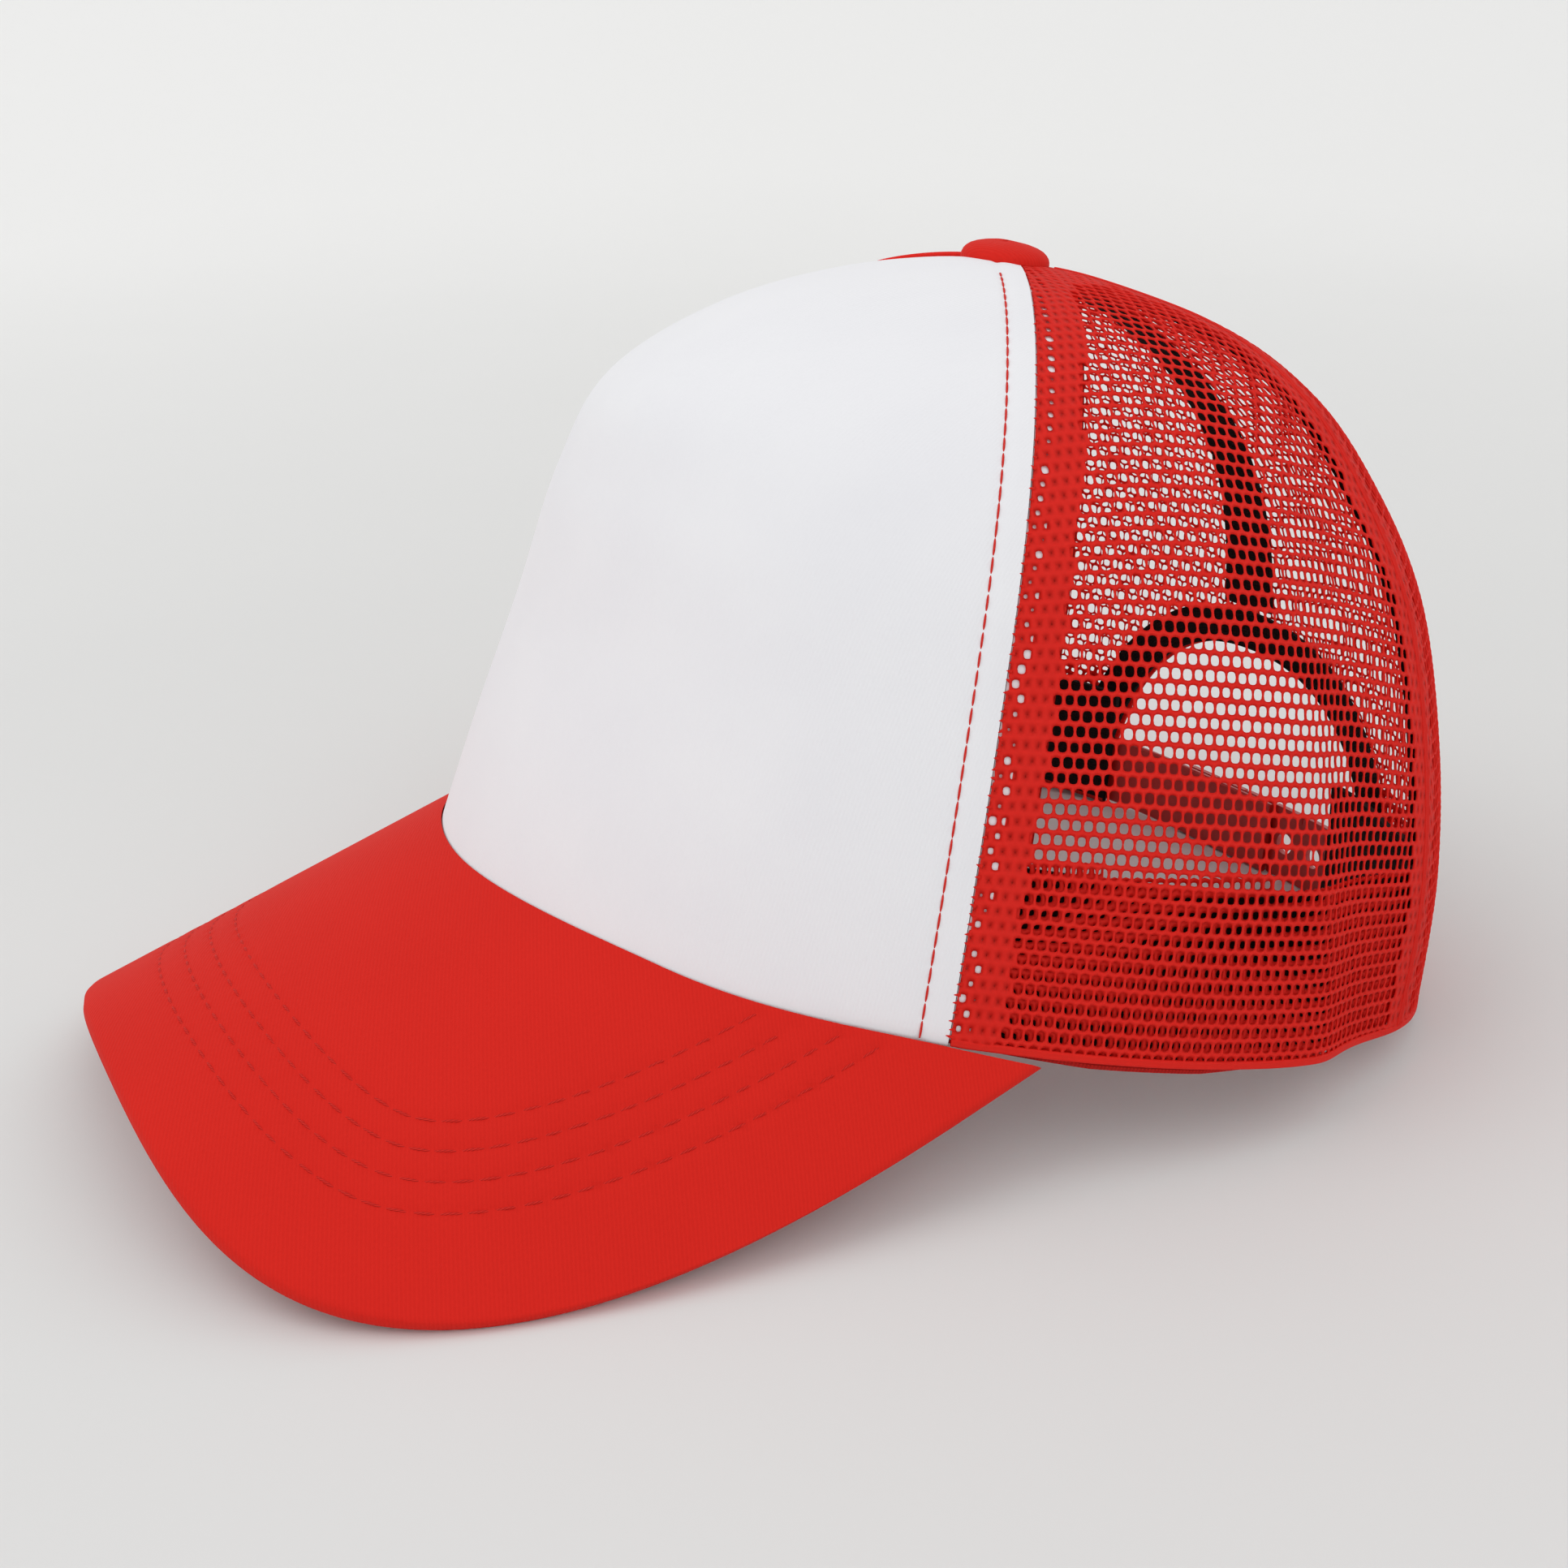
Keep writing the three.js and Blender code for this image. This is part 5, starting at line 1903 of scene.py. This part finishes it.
@dataclass
class SnapStrap:
    """The two moulded halves of the strap, with their round studs and rimmed holes."""

    finishes: Finishes
    width: float = 15.5
    lift: float = 1.5
    thickness: float = 1.2
    tuck: float = 12.0
    overlap: float = 13.7
    pitch: float = 9.0
    count: int = 6
    shared: int = 3
    outer_depth: float = 3.0
    inner_depth: float = 4.5
    stud_radius: float = 2.0
    hole_radius: float = 2.3
    hole_sides: int = 32
    stud_sides: int = 28
    edge_width: float = 0.35
    edge_round: float = 0.3
    sharp: float = 35.0
    tile: float = 1.5
    narrowest: float = 0.05
    rim: tuple[tuple[float, float], ...] = ((1.0, 0.0), (0.7, -0.22), (0.15, -0.22), (0.0, 0.0))
    stud_profile: tuple[tuple[float, float], ...] = (
        (1.0, 4.6), (1.0, 4.45), (0.86, 4.3), (0.84, 3.0), (0.95, 2.7), (1.0, 2.4), (0.93, 2.15), (0.6, 2.02),
        (0.001, 2.0))

    def place(self, across: Array, up: Array, depth: Array) -> Array:
        """Give points of the strap.

        Args:
            across: Distances across the back.
            up: Distances up from the strap's middle line.
            depth: Depths inside the crown's surface.

        Returns:
            Points in the resting frame.
        """
        across, height, depth = np.broadcast_arrays(across, self.lift + self.width / 2 + up, depth)
        position = CROWN.position_at(height)
        angle = CROWN.angle_across(across, position, self.outer_depth)
        return POSE.place(CROWN.inside(angle, position, depth))

    def snap(self, index: int) -> float:
        """Give a snap's distance across."""
        return (index - (self.shared - 1) / 2) * self.pitch

    def strip(self, sketch: Sketch, start: float, end: float, depth: float, holes: Sequence[float]) -> None:
        """Mould one half's strip as tiles, some with a hole.

        Args:
            sketch: The mesh in the making.
            start: The lower end across.
            end: The upper end across.
            depth: The outer face's depth.
            holes: The holes' distances across.
        """
        cuts = sorted({start, end, *(hole + step * self.pitch / 2 for hole in holes for step in (-1, 1))})
        cuts = [cut for cut in cuts if start <= cut <= end]
        for low, high in zip(cuts, cuts[1:]):
            if high - low < self.narrowest:
                continue
            centre = [hole for hole in holes if low < hole < high]
            if centre:
                self.holed_tile(sketch, low, high, depth, centre[0])
            else:
                self.plain_tile(sketch, low, high, depth)

    def plain_tile(self, sketch: Sketch, low: float, high: float, depth: float) -> None:
        """Mould a stretch of the strip without a hole.

        Args:
            sketch: The mesh in the making.
            low: The stretch's lower end across.
            high: Its upper end across.
            depth: The outer face's depth.
        """
        half = self.width / 2
        columns = np.linspace(low, high, max(int((high - low) / self.tile), 2) + 1)[None, :]
        rows = np.array([-half, -half + self.edge_width, half - self.edge_width, half])[:, None]
        edge = np.array([self.edge_round, 0.0, 0.0, self.edge_round])[:, None]
        outer = self.place(columns, rows, depth + edge)
        sketch.shell(outer, self.place(columns, rows, depth + self.thickness - edge))

    def holed_tile(self, sketch: Sketch, low: float, high: float, depth: float, hole: float) -> None:
        """Mould a stretch of the strip round a rimmed hole.

        Args:
            sketch: The mesh in the making.
            low: The stretch's lower end across.
            high: Its upper end across.
            depth: The outer face's depth.
            hole: The hole's distance across.
        """
        turns = np.linspace(0.0, FULL_TURN, self.hole_sides, endpoint=False) + math.pi / self.hole_sides
        cosine, sine = np.cos(turns), np.sin(turns)
        reach = np.minimum(self.width / 2 / np.maximum(np.abs(sine), 1e-6),
                           self.pitch / 2 / np.maximum(np.abs(cosine), 1e-6))
        square = (np.clip(hole + reach * cosine, low, high), reach * sine)
        layers = [self.place(*square, np.full(self.hole_sides, depth))]
        for wider, rise in self.rim:
            radius = self.hole_radius + wider
            level = np.full(self.hole_sides, depth + rise)
            layers.append(self.place(hole + radius * cosine, radius * sine, level))
        below = np.full(self.hole_sides, depth + self.thickness)
        layers.append(self.place(hole + self.hole_radius * cosine, self.hole_radius * sine, below))
        layers.append(self.place(*square, below))
        sketch.add(np.stack(layers), ring_faces(len(layers), self.hole_sides, turned=True, closed=True))

    def stud(self, sketch: Sketch, across: float) -> None:
        """Mould one stud with a slightly swollen head.

        Args:
            sketch: The mesh in the making.
            across: The stud's distance across.
        """
        turns = np.linspace(0.0, FULL_TURN, self.stud_sides, endpoint=False)
        rings = []
        for share, depth in self.stud_profile:
            reach = self.stud_radius * share
            level = np.full(self.stud_sides, depth)
            rings.append(self.place(across + reach * np.cos(turns), reach * np.sin(turns), level))
        sketch.add(np.stack(rings), ring_faces(len(rings), self.stud_sides, turned=True))

    def build(self) -> None:
        """Mould both halves."""
        holes = [self.snap(index) for index in range(self.count)]
        sketch = Sketch()
        end = OPENING.half_width + self.tuck
        self.strip(sketch, -self.overlap, end, self.outer_depth, holes)
        plastic = self.finishes.plastic
        sketch.build("snap_strap_hole_half", "strap_hole_half", Slot.PLASTIC, plastic, self.sharp)
        sketch = Sketch()
        self.strip(sketch, -end, self.overlap, self.inner_depth, [])
        for index in range(self.count):
            self.stud(sketch, self.snap(self.shared - 1 - index))
        sketch.build("snap_strap_stud_half", "strap_stud_half", Slot.PLASTIC, plastic, self.sharp)


@dataclass
class MeshFray:
    """Cut yarn ends that stick out over the white cloth along the front seam."""

    side: Side
    finishes: Finishes
    seed: int = 11
    top_height: float = 112.0
    radius: float = 0.3
    start_in: float = 0.5
    foot_reach: float = 18.0

    def build(self) -> Piece:
        """Leave the cut ends.

        Returns:
            The yarn ends' object.
        """
        rng = np.random.default_rng(self.seed + self.side.value)
        sketch = Sketch()
        low = float(CROWN_FOOT(np.array([CROWN.front_seam]))[0]) + 1.5
        height = low
        while height < self.top_height:
            near_foot = math.exp(-(height - low) / self.foot_reach)
            length = rng.uniform(0.1, 0.45) + near_foot * rng.uniform(0.1, 0.6)
            steps = np.linspace(0.0, 1.0, 5)
            out = self.side.value * (self.start_in - steps * (length + self.start_in))
            rise = height + steps * rng.normal(0.0, 0.25)
            position = CROWN.position_at(rise)
            angle = np.full_like(out, self.side.value * CROWN.front_seam)
            path = POSE.place(CROWN.shifted(angle, position, np.full_like(out, 0.1), out))
            sketch.tube(path, self.radius * (1.0 - 0.8 * steps ** 1.5), 6, 0.8, crown_lift(angle, position))
            height += NetCell().up * 0.5 + rng.uniform(0.0, 0.5)
        return sketch.build(f"mesh_cut_ends_{self.side.name.lower()}", None, Slot.MESH, self.finishes.mesh)


@dataclass
class Studio:
    """Floor, lights and the camera at the photo's angle."""

    camera_mm: tuple[float, float, float] = (280.385, -152.185, 167.76)
    azimuth: float = math.radians(60.776)
    elevation: float = math.radians(21.627)
    roll: float = math.radians(-1.25)
    lens_mm: float = 42.18
    sensor_mm: float = 36.0
    floor_reach: float = 3.0
    floor_near: float = -1.6
    floor_far: float = 1.1
    bend_radius: float = 0.9
    bend_steps: int = 12
    wall_top: float = 3.2
    aim: tuple[float, float, float] = (0.0, 0.0, 0.06)
    room_light: float = 0.9

    def floor(self) -> None:
        """Lay a pale sheet that rises far behind the hat."""
        reach = self.floor_reach
        profile = [(self.floor_near, 0.0), (self.floor_far, 0.0)]
        for step in range(1, self.bend_steps + 1):
            turn = step / self.bend_steps * math.pi / 2
            out, rise = self.bend_radius * math.sin(turn), self.bend_radius * (1 - math.cos(turn))
            profile.append((self.floor_far + out, rise))
        profile.append((self.floor_far + self.bend_radius, self.wall_top))
        back = Vector((-math.sin(self.azimuth), math.cos(self.azimuth), 0.0))
        right = Vector((math.cos(self.azimuth), math.sin(self.azimuth), 0.0))
        points = []
        for along, height in profile:
            for side in (-reach, reach):
                spot = back * along + right * side
                points.append((spot.x, spot.y, height))
        faces = [(2 * row, 2 * row + 1, 2 * row + 3, 2 * row + 2) for row in range(len(profile) - 1)]
        mesh = bpy.data.meshes.new("backdrop")
        mesh.from_pydata(points, [], faces)
        mesh.shade_smooth()
        mesh.materials.append(PaleSheet().build())
        backdrop = bpy.data.objects.new("backdrop", mesh)
        bpy.context.scene.collection.objects.link(backdrop)

    def light(self, name: str, place: tuple[float, float, float], size: float, power: float,
              colour: str) -> None:
        """Hang one soft lamp that points at the hat.

        Args:
            name: The lamp's name.
            place: Where it hangs, in metres.
            size: Its width and height.
            power: Its strength in watts.
            colour: Its colour.
        """
        lamp = bpy.data.lights.new(name, "AREA")
        lamp.shape = "DISK"
        lamp.size = size
        lamp.energy = power
        lamp.color = linear(colour)[:3]
        piece = bpy.data.objects.new(name, lamp)
        bpy.context.scene.collection.objects.link(piece)
        piece.location = place
        piece.rotation_mode = "QUATERNION"
        piece.rotation_quaternion = (Vector(self.aim) - Vector(place)).to_track_quat("-Z", "Y")

    def lights(self) -> None:
        """Hang the lamps and light the room evenly."""
        self.light("key_lamp", (-0.4, -1.3, 1.9), 1.8, 9.0, "#ffffff")
        self.light("fill_lamp", (1.9, 0.1, 1.4), 2.0, 5.0, "#fbfbff")
        world = bpy.data.worlds.new("pale_room")
        world.use_nodes = True
        room = world.node_tree.nodes["Background"]
        room.inputs["Color"].default_value = linear("#fafafa")
        room.inputs["Strength"].default_value = self.room_light
        bpy.context.scene.world = world
        bpy.context.scene.view_settings.view_transform = "Standard"

    def camera(self) -> None:
        """Set the camera where the photo was taken."""
        data = bpy.data.cameras.new("photo_camera")
        data.lens = self.lens_mm
        data.sensor_width = self.sensor_mm
        data.clip_start = 0.01
        piece = bpy.data.objects.new("photo_camera", data)
        bpy.context.scene.collection.objects.link(piece)
        back = Vector((math.sin(self.azimuth) * math.cos(self.elevation),
                       -math.cos(self.azimuth) * math.cos(self.elevation), math.sin(self.elevation)))
        turn = (-back).to_track_quat("-Z", "Y").to_matrix() @ Matrix.Rotation(self.roll, 3, "Z")
        piece.rotation_mode = "QUATERNION"
        piece.rotation_quaternion = turn.to_quaternion()
        piece.location = [value * MM for value in self.camera_mm]
        bpy.context.scene.camera = piece

    def build(self) -> None:
        """Set the whole stage."""
        self.floor()
        self.lights()
        self.camera()


def mesh_panels(finishes: Finishes) -> None:
    """Knit the four mesh panels and the doubled net behind their lower edge.

    Args:
        finishes: The hat's materials.
    """
    seam, rear, hem_end = CROWN.front_seam, CROWN.back_seam, math.radians(152.0)
    for word, low, high in (("left", seam, rear), ("right", -rear, -seam)):
        NetPanel(f"side_mesh_{word}", f"mesh_side_{word}", low, high, finishes).build()
    stretched = NetCell(hole_across=1.62, hole_up=2.1)
    for word, low, high in (("left", rear, math.pi), ("right", -math.pi, -rear)):
        node = f"mesh_back_{word}"
        NetPanel(f"back_mesh_{word}", node, low, high, finishes, stretched, has_arch=True).build()
    gathered = NetCell(hole_across=1.05, hole_up=1.25)
    for side in Side:
        ends = sorted((side.value * seam, side.value * hem_end))
        NetPanel(f"hem_net_{side.name.lower()}", None, ends[0], ends[1], finishes, gathered,
                 outer_depth=0.75, middle_depth=0.95, inner_depth=1.15, lattice_shift=(0.8, 0.55),
                 top_height=30.5, front_hole=1.0, fold_hole=1.0, seed=5).build()


def seams_and_tapes(finishes: Finishes) -> None:
    """Join the panels: folds, rolls, tapes, hems and the opening's binding.

    Args:
        finishes: The hat's materials.
    """
    edges = Edges(finishes)
    for side in Side:
        word = side.name.lower()
        fold = FrontSeamFold(side, finishes)
        fold.tape()
        fold.fold()
        MeshFray(side, finishes).build()
        edges.rim_hem(side)
        edges.seam_roll(f"side_seam_{word}", side.value * CROWN.back_seam, 1.0)
        rear = side.value * CROWN.back_seam
        SeamTape(f"side_seam_tape_{word}", f"tape_back_{word}", rear, 30.2, 4.6, finishes).build()
    edges.seam_roll("centre_back_seam", math.pi, 49.5)
    edges.standing_seam()
    SeamTape("centre_back_tape", "tape_centre_back", math.pi, 57.0, 13.5, finishes, 0.5).build()
    edges.arch_tape()
    edges.arch_fold()
    edges.arch_stitches()


def main() -> None:
    """Build the hat and its stage."""
    logging.basicConfig(level=logging.INFO, format="%(message)s")
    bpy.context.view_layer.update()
    finishes = Finishes()
    studio = Studio()
    studio.build()
    front = FrontPanel(finishes)
    front.panel()
    front.topstitching()
    mesh_panels(finishes)
    seams_and_tapes(finishes)
    band = Sweatband(finishes)
    band.build()
    band.edging()
    band.sewing()
    bill = BillCover(finishes)
    bill.cover()
    bill.sewing()
    CoveredButton(finishes).build()
    SnapStrap(finishes).build()


if __name__ == "__main__":
    main()
